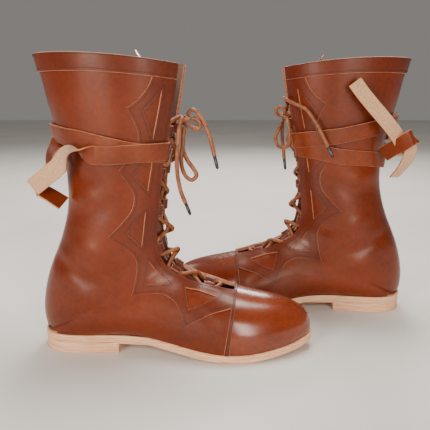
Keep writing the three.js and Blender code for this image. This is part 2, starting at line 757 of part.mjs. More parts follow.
function strapPoint(turn, across, offset) {
  const share = turn % 1;
  const side = share < 0.5 ? -1 : 1;
  const t = table(strapStation, turn) + across * 2 * strapHalf;
  const edge = edgeV(t);
  const frontShare = 0.09;
  const toBack = share < 0.5 ? share / 0.5 : (1 - share) / 0.5;
  const clear = 1.35; // over the facets of the layers below
  const layer = overlayLeather + gap + clear + (turn > 1 ? strapLeather + gap : 0) + offset;
  if (toBack <= 1 - frontShare) return layerPoint(t, side, edge * toBack / (1 - frontShare), layer);
  // Across the front it tucks in behind the lace, round both facing edges.
  const inward = (toBack - 1 + frontShare) / frontShare;
  const corner = layerPoint(t, side, edge, layer);
  const tuckInset = 7.6; // inside the facing edge
  const tuckDepth = 6.3; // below the layer that it comes from
  const bridgeDepth = 8; // the same at the middle of the opening
  const tuckShare = 0.4;
  const tuck = chordPoint(t, side * (halfGap(t) - tuckInset), layer - tuckDepth);
  if (inward < tuckShare) return corner.lerp(tuck, inward / tuckShare);
  const bridge = chordPoint(t, 0, layer - bridgeDepth);
  return tuck.lerp(bridge, (inward - tuckShare) / (1 - tuckShare));
}

function strap() {
  const shares = [strapStart];
  const marks = [0.1, 0.19, 0.28, 0.37, 0.455, 0.473, 0.527, 0.545, 0.63, 0.72, 0.81, 0.9];
  for (const turn of [0, 1]) {
    marks.forEach((mark) => shares.push(turn + mark));
    if (turn === 0) shares.push(0.96, 1.04);
  }
  shares.push(strapEnd);
  const last = shares.length - 1;
  const thick = (offset) => (i, j) => strapPoint(shares[Math.round(i * last)], j - 0.5, offset);
  return sheetSolid(last, 1, thick(strapLeather), thick(0));
}

// Side outlines of the knot and the free end, each cut from flat strap: outline, near and far y.
const strapPieces = {
  right: {
    strap_knot: {
      outline: [[18, 236], [10, 229], [1, 214], [2, 197], [11, 191], [22, 200], [23, 215]],
      y: [-24, -10],
    },
    strap_end: {
      outline: [[28, 212], [40, 201], [17, 184], [34, 169], [28, 157], [4, 180], [2, 190]],
      y: [-38, -35.5],
    },
  },
  left: {
    strap_knot: {
      outline: [[19, 236], [8, 226], [4, 218], [3, 205], [14, 196], [21, 204], [22, 220]],
      y: [-24, -10],
    },
    strap_end: { outline: [[22, 236], [34, 226], [85, 284], [75, 296]], y: [-67, -64.5] },
  },
};

function strapPiece(boot, name) {
  const { outline, y } = strapPieces[boot][name];
  const options = { depth: y[1] - y[0], bevelEnabled: false };
  const piece = new THREE.ExtrudeGeometry(sideShape(outline), options);
  return solidOf(piece.rotateX(Math.PI / 2).translate(0, y[1], 0));
}

// ---- Materials ----
const finish = (color, roughness, metalness = 0) =>
  new THREE.MeshStandardMaterial({ color, roughness, metalness });
const saddle = finish(0x8e4428, 0.42);
const saddleDark = finish(0x7c3a20, 0.45);
const rawLeather = finish(0xe0bd97, 0.85);
const soleLeather = finish(0xdcb486, 0.7);
const liftLeather = finish(0xd2a678, 0.7);
const laceLeather = finish(0xa9683c, 0.6);
const gunmetal = finish(0x3a3d42, 0.35, 0.9);
const shankSteel = finish(0x8a8d90, 0.4, 0.9);

// ---- One boot ----
function bootMeshes(boot) {
  const group = new THREE.Group();
  const add = (name, geometry, material) => {
    const mesh = new THREE.Mesh(geometry, material);
    mesh.name = `${boot}_${name}`;
    group.add(mesh);
  };
  const midTop = gap;
  const outTop = midTop + midsoleThickness + gap;
  add('outsole', solePlate(soleMargin, outTop, outsoleThickness), soleLeather);
  add('midsole', solePlate(soleMargin, midTop, midsoleThickness), rawLeather);
  const liftHeight = (heelHeight - 2 * gap) / 2;
  ['heel_top_piece', 'heel_lift'].forEach((name, row) => {
    const bottom = row * (liftHeight + gap);
    add(name, heelLift(bottom, bottom + liftHeight, 0.6 - 0.3 * row), liftLeather);
  });
  const bed = shankThickness + 2 * gap;
  const ease = 5.5; // insole inside the quarters
  const inside = upperLeather + ease;
  add('insole', solePlate(-inside, -bed - insoleThickness, insoleThickness), rawLeather);
  add('shank', shank(), shankSteel);
  add('toe_cap', toeCap(), saddle);
  add('toe_puff', toePuff(), rawLeather);
  add('toe_cap_strip', toeStrip(), saddle);
  add('heel_counter', heelCounter(), rawLeather);
  add('collar_band', collarBand(), saddleDark);
  for (const [place, side] of [['lateral', -1], ['medial', 1]]) {
    add(`quarter_${place}`, quarter(side), saddle);
    add(`facing_overlay_${place}`, facingOverlay(side), saddleDark);
    add(`lacing_loops_${place}`, lacingLoops(side), saddleDark);
  }
  add('tongue', tongue(), saddleDark);
  add('tongue_top', tongueFlap(), saddleDark);
  add('lace', tube(lacePath(boot), laceDiameter, 1), laceLeather);
  add('bow_knot', bowKnot(boot), laceLeather);
  Object.entries(cordRoutes[boot]).forEach(([name, list]) => {
    const route = sizedRoute(list);
    add(name, freeCord(route), laceLeather);
    if (name.startsWith('lace_end')) add(name.replace('lace_end', 'aglet'), aglet(route), gunmetal);
  });
  add('strap', strap(), saddle);
  add('strap_knot', strapPiece(boot, 'strap_knot'), saddleDark);
  add('strap_end', strapPiece(boot, 'strap_end'), rawLeather);
  return group;
}

// ---- The pair ----
const right = bootMeshes('right');
right.position.set(rightHeel.x, rightHeel.y, 0);
right.rotation.z = stanceTurn;
const left = bootMeshes('left');
left.position.set(leftHeel.x, leftHeel.y, 0);
left.rotation.z = stanceTurn;
left.scale.x = -1;

const pair = new THREE.Group();
pair.add(right, left);

// Puts the origin under the middle of the pair, leaving the free bow cords out of the box.
pair.updateMatrixWorld(true);
const box = new THREE.Box3();
pair.traverse((mesh) => {
  const free = /bow_loop|lace_end|aglet/.test(mesh.name);
  if (mesh.isMesh && !free) box.expandByObject(mesh, true);
});
const middle = box.getCenter(new THREE.Vector3());
pair.position.set(-middle.x, -middle.y, -box.min.z);

export default pair;
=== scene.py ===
"""A pair of laced leather calf boots, dressed over the CAD frame (metres, +Z up)."""
import math

import bpy
import numpy as np
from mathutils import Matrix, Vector, geometry


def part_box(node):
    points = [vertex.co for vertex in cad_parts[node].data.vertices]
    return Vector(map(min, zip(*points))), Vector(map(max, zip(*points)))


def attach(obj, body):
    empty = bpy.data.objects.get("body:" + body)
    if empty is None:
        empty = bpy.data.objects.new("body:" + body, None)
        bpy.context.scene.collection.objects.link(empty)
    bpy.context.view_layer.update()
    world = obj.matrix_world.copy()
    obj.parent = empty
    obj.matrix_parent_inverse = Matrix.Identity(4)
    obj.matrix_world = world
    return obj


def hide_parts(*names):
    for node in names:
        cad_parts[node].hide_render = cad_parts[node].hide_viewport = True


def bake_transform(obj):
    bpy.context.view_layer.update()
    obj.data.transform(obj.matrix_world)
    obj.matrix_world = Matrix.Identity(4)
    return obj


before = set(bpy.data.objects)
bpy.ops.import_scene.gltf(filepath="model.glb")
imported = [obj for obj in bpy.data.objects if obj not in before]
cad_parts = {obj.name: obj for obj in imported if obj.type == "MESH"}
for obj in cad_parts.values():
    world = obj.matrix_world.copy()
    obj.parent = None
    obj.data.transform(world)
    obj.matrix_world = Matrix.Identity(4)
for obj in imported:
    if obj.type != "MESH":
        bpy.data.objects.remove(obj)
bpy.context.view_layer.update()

# ---- Sizes, in millimetres in each boot's own frame: x heel to toe, y < 0 the outer side ----
BOOT_LENGTH = 300
UPPER = 2.2
OVERLAY = 1.7
MIDSOLE = 3.0
OUTSOLE = 4.5
HEEL_HEIGHT = 11.9
HEEL_LENGTH = 89
SOLE_MARGIN = 2.0
INSOLE = 2.5
LACE = 4.6
AGLET = 3.8
AGLET_LENGTH = 14
STRAP_WIDTH = 18.5
STRAP = 2.0
COLLAR_HEIGHT = 19.5
TOP_ARCH = 5
ARCH_START = 24
TONGUE_HALF = 23
TONGUE = 1.8
LOOP_LENGTH = 11
LOOP = 1.3
LOOP_TUCK = 0.6  # how far a loop's roll starts behind the facing edge
EYE_SLACK = 1.2  # between the lace and the loop round it
EYE_REACH = LACE / 2 + EYE_SLACK + LOOP - LOOP_TUCK  # eye's centre past the facing edge
STAY_WIDTH = 9  # tape that the loops are sewn to
STAY_OVERHANG = 1.2
STAY_STEP = 0.9  # room for the tape behind a loop
STRIP_WIDTH = 5
STATION_PITCH = 25  # about one station at the toe cap seam and at the collar
STATION_RISE = 24.6  # one station at the strap
SHANK = 1.5
GAP = 0.3
STANCE_TURN = math.radians(-4.1)
RIGHT_HEEL = (-191.5, 641.6)  # from the camera's foot to the right boot's heel
CAMERA_HEIGHT = 290
CAMERA_TILT = 77.44  # degrees from straight down

# The fan of sections of the last, as in the CAD source:
# bottom or back x, z, crown or front x, z, half-width at the feather, widest.
STATIONS = np.array([
    (298, 19.2, 298, 21.5, 0, 0), (296.4, 18.8, 297, 33, 8.5, 9),
    (288.5, 16.9, 290, 45, 18, 19.5), (275, 13.9, 277, 52.8, 28.5, 30.5),
    (256, 11, 257, 58.8, 38.5, 41), (232, 8.6, 234, 63.8, 46, 48.5),
    (206, 8.4, 214.5, 68.3, 48, 51), (176, 10.4, 205, 71, 43, 48),
    (147, 15.2, 196.8, 74.4, 36, 44), (118, 19.4, 190, 77.5, 29.5, 41),
    (90, 20, 183.2, 80.1, 27, 39.5), (64, 20, 176, 84.5, 29.5, 39),
    (40, 20, 168.5, 90.3, 31, 39), (20, 20, 162, 95, 27.5, 38.5),
    (7.5, 20, 156, 100, 17.5, 38.5), (1.5, 22, 151.5, 105, 0, 38.5),
    (-1, 40, 147.5, 110, 0, 39), (1, 60, 144.7, 116.5, 0, 39),
    (6.5, 82, 142.5, 124.5, 0, 40), (14.5, 103, 141.5, 134.5, 0, 40.5),
    (23.5, 124, 142, 146.5, 0, 41), (30.5, 147, 143.5, 160.5, 0, 41.5),
    (34, 172, 145, 177.5, 0, 42), (33, 196, 147.3, 197, 0, 43),
    (28.5, 221, 151.8, 218, 0, 45), (23, 246, 157.3, 241, 0, 47.5),
    (17, 270, 162.5, 263.5, 0, 50), (12, 294, 167, 285.5, 0, 52),
    (6, 318, 171, 305.5, 0, 53.5),
])
CAP_SEAM = 6
HEEL_STATION = 15
TOP_STATION = len(STATIONS) - 1
LAST_SWING = 5
FACING_GAP = [(6, 10), (9, 15), (14, 20), (20, 22), (23, 24), (28, 29)]
TONGUE_RISE = [(6, -3), (8, -6), (10, -8), (12, -1), (14, 6), (16, 8), (18.5, 6), (21, 0), (23, -9),
               (27, -10)]
LOOP_STATIONS = [25.0, 23.05, 20.95, 17.5, 13.2, 9.0]


# ---- The upper's surface ----
def ramp(value, low, high):
    share = np.clip((np.asarray(value, float) - low) / (high - low), 0, 1)
    return share * share * (3 - 2 * share)


def table(rows, t):
    return np.interp(t, [row[0] for row in rows], [row[1] for row in rows])


def spline(index, t):
    t = np.asarray(t, float)
    low = np.clip(np.floor(t).astype(int), 0, TOP_STATION - 1)
    at = lambda row: STATIONS[np.clip(row, 0, TOP_STATION), index]
    a, b, c, d = at(low - 1), at(low), at(low + 1), at(low + 2)
    f = t - low
    bend = 2 * a - 5 * b + 4 * c - d + (3 * b - a - 3 * c + d) * f
    return b + 0.5 * f * (c - a + f * bend)


def section(t):
    t = np.asarray(t, float)
    back = np.stack([spline(0, t), spline(1, t)], -1)
    front = np.stack([spline(2, t), spline(3, t)], -1)
    width = np.maximum(spline(5, t), 0.01)
    feather = np.where(t < HEEL_STATION, np.clip(spline(4, t), 0, width), 0)
    return back, front, width, feather, np.arcsin(feather / width)


def swing(x):
    return LAST_SWING * ramp(x, 0.4 * BOOT_LENGTH, 1.1 * BOOT_LENGTH)


def smooth_point(t, side, v):
    """Upper's outer face without creases; v runs from feather or back seam (0) to shin line (1)."""
    back, front, width, _, start = section(t)
    angle = start + (math.pi - start) * v
    rise = (np.cos(start) - np.cos(angle)) / (np.cos(start) + 1)
    place = back + (front - back) * rise[..., None]
    y = side * width * np.sin(angle) + swing(place[..., 0])
    arch = TOP_ARCH * np.sin(angle) ** 2 * ramp(t, ARCH_START, TOP_STATION)
    return np.stack([place[..., 0], y, place[..., 1] + arch], -1)


def smooth_normal(t, side, v):
    t, side, v = np.broadcast_arrays(np.asarray(t, float), np.asarray(side, float), v)
    step = 0.02
    t0, t1 = np.maximum(t - step, 0.01), np.minimum(t + step, TOP_STATION)
    v0, v1 = np.maximum(v - step, 0), np.minimum(v + step, 1)
    along = smooth_point(t1, side, v) - smooth_point(t0, side, v)
    around = smooth_point(t, side, v1) - smooth_point(t, side, v0)
    level = (v < 1e-6) | (v > 1 - 1e-6)
    around[level] *= (0, 1, 0)
    normal = np.cross(around, along) * -side[..., None]
    normal[t < 0.02] = (1, 0, 0)
    return normal / np.maximum(np.linalg.norm(normal, axis=-1, keepdims=True), 1e-9)


# Soft creases of the leather: x, z, reach along, reach across, slope, depth, side (0 both).
CREASES = [
    (48, 92, 34, 7, -0.55, -2.2, 0), (70, 118, 30, 8, -0.35, 1.3, 0), (62, 66, 36, 9, -0.45, 1.2, 0),
    (84, 165, 26, 12, 0.5, -1.6, -1), (52, 196, 22, 10, -0.4, -2.4, -1), (56, 176, 22, 11, -0.3, 1.8, -1),
    (78, 250, 16, 60, 0, -1.3, -1), (100, 150, 30, 9, 0.6, 1.0, 1), (64, 206, 34, 14, -0.2, -1.2, 1),
    (182, 52, 26, 5, -0.7, -0.8, 0), (150, 44, 30, 6, -0.5, -0.8, 0), (40, 140, 20, 10, 0.4, 1.2, -1),
    (110, 60, 26, 12, 0.7, -0.8, 0),
]


def dents(point, side):
    """How far the creases raise or sink the leather at a point."""
    total = np.zeros(point.shape[:-1])
    for x, z, long, wide, slope, depth, only in CREASES:
        dx, dz = point[..., 0] - x, point[..., 2] - z
        turn = math.hypot(1, slope)
        along, across = (dx + slope * dz) / turn, (dz - slope * dx) / turn
        bump = depth * np.exp(-(along / long) ** 2 - (across / wide) ** 2)
        total += np.where((only == 0) | (side == only), bump, 0)
    return total


def layer_point(t, side, v, offset):
    """Point at the given height over the upper's outer face, with its creases."""
    t, side, v = np.broadcast_arrays(np.asarray(t, float), np.asarray(side, float), np.asarray(v, float))
    point = smooth_point(t, side, v)
    fade = np.sin(math.pi * np.clip(v, 0, 1)) ** 0.7
    return point + smooth_normal(t, side, v) * (offset + dents(point, side) * fade)[..., None]


def half_gap(t):
    return table(FACING_GAP, t)


def v_at_half_width(t, distance):
    _, _, width, _, start = section(t)
    angle = math.pi - np.arcsin(np.clip(distance / width, 0, 1))
    return (angle - start) / (math.pi - start)


def edge_v(t):
    return v_at_half_width(t, half_gap(t))


FAN = np.linspace(CAP_SEAM, TOP_STATION, 900)
FAN_BACK, FAN_FRONT, _, _, _ = section(FAN)


def place_at(x, z):
    """Station and v where the side view of the upper passes through (x, z)."""
    line = FAN_FRONT - FAN_BACK
    cross = (x - FAN_BACK[:, 0]) * line[:, 1] - (z - FAN_BACK[:, 1]) * line[:, 0]
    turn = np.nonzero(np.diff(np.sign(cross)))[0]
    k = turn[0] if len(turn) else int(np.argmin(np.abs(cross)))
    k = min(k, len(FAN) - 2)
    f = np.clip(cross[k] / (cross[k] - cross[k + 1] + 1e-12), 0, 1)
    t = FAN[k] + (FAN[k + 1] - FAN[k]) * f
    back, front, _, _, start = section(t)
    reach = front - back
    rise = float(np.dot((x, z) - back, reach) / np.dot(reach, reach))
    angle = math.acos(float(np.clip(np.cos(start) - rise * (np.cos(start) + 1), -1, 1)))
    return float(t), float((angle - start) / (math.pi - start))


def chord_point(t, y, height):
    """Point on the chord between the facing edges, raised along the shin's normal."""
    t = float(t)
    edge = smooth_point(t, -1.0, edge_v(t))
    shin = smooth_normal(t, -1.0, 1.0)
    return np.array([edge[0], y + float(swing(edge[0])), edge[2]]) + shin * height


# ---- Placing a boot's points in the row frame ----
class Boot:
    def __init__(self, name, mirror):
        self.name = name
        self.mirror = mirror
        self.body = name + "_boot"
        self.flap = name + "_tongue_flap"
        self.tail = name + "_strap_tail"
        self.origin = np.zeros(3)
        low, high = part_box(name + "_outsole")
        found = (np.array(low) + np.array(high)) / 2
        outline = self.row(plate_outline(SOLE_MARGIN))
        middle = (outline.min(0) + outline.max(0)) / 2
        self.origin = np.array([found[0] - middle[0], found[1] - middle[1], 0]) * 1000

    def row(self, points):
        """Boot frame in millimetres to row frame in metres."""
        p = np.asarray(points, float)
        x, y = p[..., 0] * self.mirror, p[..., 1]
        c, s = math.cos(STANCE_TURN), math.sin(STANCE_TURN)
        turned = np.stack([c * x - s * y, s * x + c * y, p[..., 2]], -1)
        return (turned + self.origin) / 1000


def new_object(name, data):
    obj = bpy.data.objects.new(name, data)
    bpy.context.scene.collection.objects.link(obj)
    return obj


def piece(boot, name, part, materials, nodes=(), rides=True, sharp=38):
    """A mesh object from a part: boot-frame points, faces, and each face's place in materials."""
    points, faces, kinds = part
    mesh = bpy.data.meshes.new(name)
    if boot.mirror < 0:
        faces = [tuple(reversed(face)) for face in faces]
    mesh.from_pydata([tuple(p) for p in boot.row(points)], [], faces)
    for material in materials:
        mesh.materials.append(material)
    mesh.polygons.foreach_set("material_index", np.asarray(kinds, np.int32))
    mesh.polygons.foreach_set("use_smooth", np.ones(len(mesh.polygons), bool))
    mesh.set_sharp_from_angle(angle=math.radians(sharp))
    mesh.validate()
    obj = new_object(boot.name + "_" + name, mesh)
    if rides:
        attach(obj, boot.body)
    if nodes:
        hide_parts(*[boot.name + "_" + node for node in nodes])
    return obj


GRAIN, FLESH, EDGE = 0, 1, 2


class Solid:
    """Points and faces gathered from several closed parts."""

    def __init__(self):
        self.points, self.faces, self.kinds = [], [], []

    def add(self, points, faces, kinds):
        base = len(self.points)
        self.points += [tuple(p) for p in points]
        self.faces += [tuple(base + k for k in face) for face in faces]
        self.kinds += list(kinds)
        return self

    def part(self):
        return self.points, self.faces, self.kinds


def shell(outer, inner, cut=None):
    """Closed sheet between two grids; cut marks the outer quads that are bevelled cut edge."""
    rows, columns = outer.shape[0], outer.shape[1]
    points = np.concatenate([outer.reshape(-1, 3), inner.reshape(-1, 3)])
    index = np.arange(rows * columns).reshape(rows, columns)
    under = index + rows * columns
    faces, kinds = [], []
    for i in range(rows - 1):
        for j in range(columns - 1):
            a, b, c, d = index[i, j], index[i + 1, j], index[i + 1, j + 1], index[i, j + 1]
            faces.append((a, b, c, d))
            kinds.append(EDGE if cut is not None and cut[i, j] else GRAIN)
            a, b, c, d = under[i, j], under[i, j + 1], under[i + 1, j + 1], under[i + 1, j]
            faces.append((a, b, c, d))
            kinds.append(FLESH)
    ring = list(index[:, 0]) + list(index[-1, 1:]) + list(index[-2::-1, -1]) + list(index[0, -2:0:-1])
    for k, a in enumerate(ring):
        b = ring[(k + 1) % len(ring)]
        faces.append((b, a, a + rows * columns, b + rows * columns))
        kinds.append(EDGE)
    return points, faces, kinds


def signed_volume(points, faces):
    p = np.asarray(points)
    total = 0.0
    for face in faces:
        for k in range(1, len(face) - 1):
            total += np.dot(p[face[0]], np.cross(p[face[k]], p[face[k + 1]]))
    return total


def outward(part):
    points, faces, kinds = part
    centred = np.asarray(points) - np.mean(points, axis=0)
    if signed_volume(centred, faces) < 0:
        faces = [tuple(reversed(face)) for face in faces]
    return points, faces, kinds


def steps(low, high, count, first=0.0, last=0.0):
    """Even steps, with one extra short step at an end that has a bevelled cut edge."""
    even = np.linspace(low + first, high - last, count)
    return np.concatenate([[low] if first else [], even, [high] if last else []])


def layer(t, side, v, outside, thickness, lips="", bevel=0.5):
    """A leather layer over grids of stations, sides and v.
    lips names the borders that slope down as a cut edge: s start row, e end row, l and r columns."""
    t, side, v = np.broadcast_arrays(t, side, v)
    drop = np.zeros(t.shape)
    cut = np.zeros((t.shape[0] - 1, t.shape[1] - 1), bool)
    for letter, line in (("s", np.s_[0]), ("e", np.s_[-1]), ("l", np.s_[:, 0]), ("r", np.s_[:, -1])):
        if letter in lips:
            drop[line] = bevel
            cut[line] = True
    outer = layer_point(t, side, v, outside - drop)
    inner = layer_point(t, side, v, np.full(t.shape, outside - thickness))
    return outward(shell(outer, inner, cut))


# ---- Curves, tubes and ribbons ----
def curve(points, per_span=8):
    """Centripetal Catmull-Rom curve through the points, as the CAD cords have."""
    p = np.asarray(points, float)
    p = np.vstack([2 * p[0] - p[1], p, 2 * p[-1] - p[-2]])
    out = []
    for k in range(1, len(p) - 2):
        a, b, c, d = p[k - 1], p[k], p[k + 1], p[k + 2]
        knots = [max(np.sum((q[:3] - o[:3]) ** 2) ** 0.25, 1e-4) for o, q in ((a, b), (b, c), (c, d))]
        d0, d1, d2 = knots
        m1 = ((b - a) / d0 - (c - a) / (d0 + d1) + (c - b) / d1) * d1
        m2 = ((c - b) / d1 - (d - b) / (d1 + d2) + (d - c) / d2) * d1
        for f in np.arange(per_span) / per_span:
            cubic = 2 * b - 2 * c + m1 + m2
            square = -3 * b + 3 * c - 2 * m1 - m2
            out.append(b + f * m1 + f * f * square + f ** 3 * cubic)
    return np.array(out + [p[-2]])


def run_length(path):
    """Distance along a path at each of its points."""
    return np.concatenate([[0], np.cumsum(np.linalg.norm(np.diff(path, axis=0), axis=1))])


def unit(vectors):
    return vectors / np.maximum(np.linalg.norm(vectors, axis=-1, keepdims=True), 1e-9)


def tangents(path):
    return unit(np.gradient(path, axis=0))


def between_rings(rings, count):
    """Quads between neighbours in a stack of closed rings of count points."""
    faces = []
    for r in range(rings - 1):
        for k in range(count):
            n = (k + 1) % count
            faces.append((r * count + k, r * count + n, (r + 1) * count + n, (r + 1) * count + k))
    return faces


def end_lids(rings, count):
    return [tuple(range(count - 1, -1, -1)), tuple(range((rings - 1) * count, rings * count))]


def tube(path, radius, sides=12):
    """A round cord along a path, with rounded ends."""
    path = np.asarray(path, float)
    along = tangents(path)
    side = np.cross(along[0], (0.31, 0.22, 0.93))
    radii = np.full(len(path), float(radius))
    first = path[0] - along[0] * radius * 0.45
    last = path[-1] + along[-1] * radius * 0.45
    path = np.vstack([first, path, last])
    along = np.vstack([along[0], along, along[-1]])
    radii = np.concatenate([[radius * 0.6], radii, [radius * 0.6]])
    points = []
    for k, (place, direction) in enumerate(zip(path, along)):
        side = side - direction * np.dot(side, direction)
        side = side / np.linalg.norm(side)
        other = np.cross(direction, side)
        for corner in range(sides):
            angle = 2 * math.pi * corner / sides
            points.append(place + radii[k] * (math.cos(angle) * side + math.sin(angle) * other))
    faces = between_rings(len(path), sides) + end_lids(len(path), sides)
    return points, faces, [GRAIN] * len(faces)


def ribbon(keys, width, thick, per_span=6, crown=0.25):
    """A flat strap through keys of (centre, vector across it); grain lies on path x across."""
    rows = curve([tuple(centre) + tuple(across) for centre, across in keys], per_span)
    path, across = rows[:, :3], rows[:, 3:]
    along = tangents(path)
    across = unit(across - along * np.sum(along * across, -1, keepdims=True))
    up = np.cross(along, across)
    half, h = width / 2, thick / 2
    profile = [(-half, h - 0.45, EDGE), (-half + 0.4, h, GRAIN), (-half * 0.5, h + crown * 0.7, GRAIN),
               (0, h + crown, GRAIN), (half * 0.5, h + crown * 0.7, GRAIN), (half - 0.4, h, EDGE),
               (half, h - 0.45, EDGE), (half, -h + 0.2, EDGE), (half - 0.4, -h, FLESH), (0, -h, FLESH),
               (-half + 0.4, -h, EDGE), (-half, -h + 0.2, EDGE)]
    points = [path + across * a + up * b for a, b, _ in profile]
    grid = np.stack(points, 1).reshape(-1, 3)
    faces = between_rings(len(path), len(profile)) + end_lids(len(path), len(profile))
    kinds = [kind for _, _, kind in profile] * (len(path) - 1) + [EDGE, EDGE]
    return outward((grid, faces, kinds))


# ---- Stitches ----
STITCH_PITCH = 2.8
STITCH_LENGTH = 1.7
STITCH_WIDTH = 1.15
STITCH_RISE = 0.28
STITCH_ROOT = 0.45  # depth of its ends in the leather
EDGE_INSET = 2.7  # of the rows beside the facing edges


def stitch_row(solid, path, normals):
    """Thread showing along a path of points with surface normals, one short arch a stitch."""
    path, normals = np.asarray(path), np.asarray(normals)
    length = run_length(path)
    count = int(length[-1] / STITCH_PITCH)
    if count < 2:
        return
    at = (np.arange(count) + 0.5) * length[-1] / count
    ends = []
    for shift in (-0.5, -0.25, 0, 0.25, 0.5):
        where = at + shift * STITCH_LENGTH
        ends.append(np.stack([np.interp(where, length, path[:, k]) for k in range(3)], -1))
    out = unit(np.stack([np.interp(at, length, normals[:, k]) for k in range(3)], -1))
    along = unit(ends[4] - ends[0])
    across = unit(np.cross(along, out))
    rise = (-0.15, 0.75, 1, 0.75, -0.15)
    wide = (0.45, 0.95, 1, 0.95, 0.45)
    for k in range(count):
        ring = []
        for place, high, broad in zip(ends, rise, wide):
            middle = place[k] + out[k] * STITCH_RISE * high
            half = across[k] * STITCH_WIDTH / 2 * broad
            ring += [middle - half - out[k] * STITCH_ROOT, middle - half * 0.8, middle + out[k] * 0.16,
                     middle + half * 0.8, middle + half - out[k] * STITCH_ROOT]
        faces = [(a + r * 5, (a + 1) % 5 + r * 5, (a + 1) % 5 + r * 5 + 5, a + r * 5 + 5)
                 for r in range(4) for a in range(5)]
        faces += [(4, 3, 2, 1, 0), (20, 21, 22, 23, 24)]
        solid.add(ring, faces, [GRAIN] * len(faces))


def surface_row(solid, t, side, v, height):
    t, side, v = np.broadcast_arrays(np.asarray(t, float), float(side), v)
    stitch_row(solid, layer_point(t, side, v, np.full(t.shape, height)), smooth_normal(t, side, v))


# ---- Outlines of the soles ----
def sole_line():
    t = np.concatenate([np.linspace(0, 1.6, 40), np.linspace(1.7, 13.9, 90), np.linspace(14, 15, 22)])
    back, _, _, feather, _ = section(t)
    return back[:, 0], back[:, 1], feather


def sole_top(x):
    xs, zs, _ = sole_line()
    seat = HEEL_HEIGHT + MIDSOLE + OUTSOLE + 2 * GAP
    height = np.interp(x, xs[::-1], zs[::-1])
    return np.where(np.asarray(x) < 0.3 * HEEL_LENGTH, seat, height)


def plate_outline(margin):
    """Closed outline of a plate under the foot, toe to heel on the inner side and back on the outer."""
    xs, _, half = sole_line()
    path = np.stack([xs, half], -1)
    along = np.gradient(path, axis=0)
    along[0], along[-1] = (0, 1), (0, -1)
    out = unit(np.stack([along[:, 1], -along[:, 0]], -1)) * margin
    path = path + out
    path[0, 1] = path[-1, 1] = 0
    path[:, 1] = np.maximum(path[:, 1], 0)
    back = path[-2:0:-1] * (1, -1)
    ring = np.vstack([path, back])
    return np.column_stack([ring[:, 0], ring[:, 1] + swing(ring[:, 0]), np.zeros(len(ring))])


def plate(margin, profile, height, front=None):
    """Solid with the outline; profile rows are (inset, height); height(x) adds the bottom line.
    front cuts it off square at that x."""
    ring = plate_outline(margin)
    if front:
        ring = ring[ring[:, 0] < front]
        ring = ring[np.argsort(np.arctan2(ring[:, 1] - 2, ring[:, 0] - front + 1e-3))]
    centre = np.array([ring[:, 0].mean(), 0.0])
    count = len(ring)
    before, after = np.roll(ring, 1, 0)[:, :2], np.roll(ring, -1, 0)[:, :2]
    along = unit(after - before)
    inward = np.stack([along[:, 1], -along[:, 0]], -1)
    flip = np.sign(np.sum(inward * (centre - ring[:, :2]), -1)).mean()
    inward *= 1 if flip > 0 else -1
    points = []
    for inset, z in profile:
        moved = ring[:, :2] + inward * inset
        points += [(x, y, float(height(x)) + z) for x, y in moved]
    faces = between_rings(len(profile), count)
    for r, reverse in ((0, True), (len(profile) - 1, False)):
        lid = [r * count + k for k in range(count)]
        tris = geometry.tessellate_polygon([[Vector((points[k][0], points[k][1], 0)) for k in lid]])
        faces += [tuple(lid[k] for k in (reversed(tri) if reverse else tri)) for tri in tris]
    return outward((points, faces, [GRAIN] * len(faces)))


# ---- Materials ----
def srgb(r, g, b):
    linear = lambda c: c / 12.92 if c <= 0.04045 else ((c + 0.055) / 1.055) ** 2.4
    return tuple(linear(c / 255) for c in (r, g, b)) + (1,)


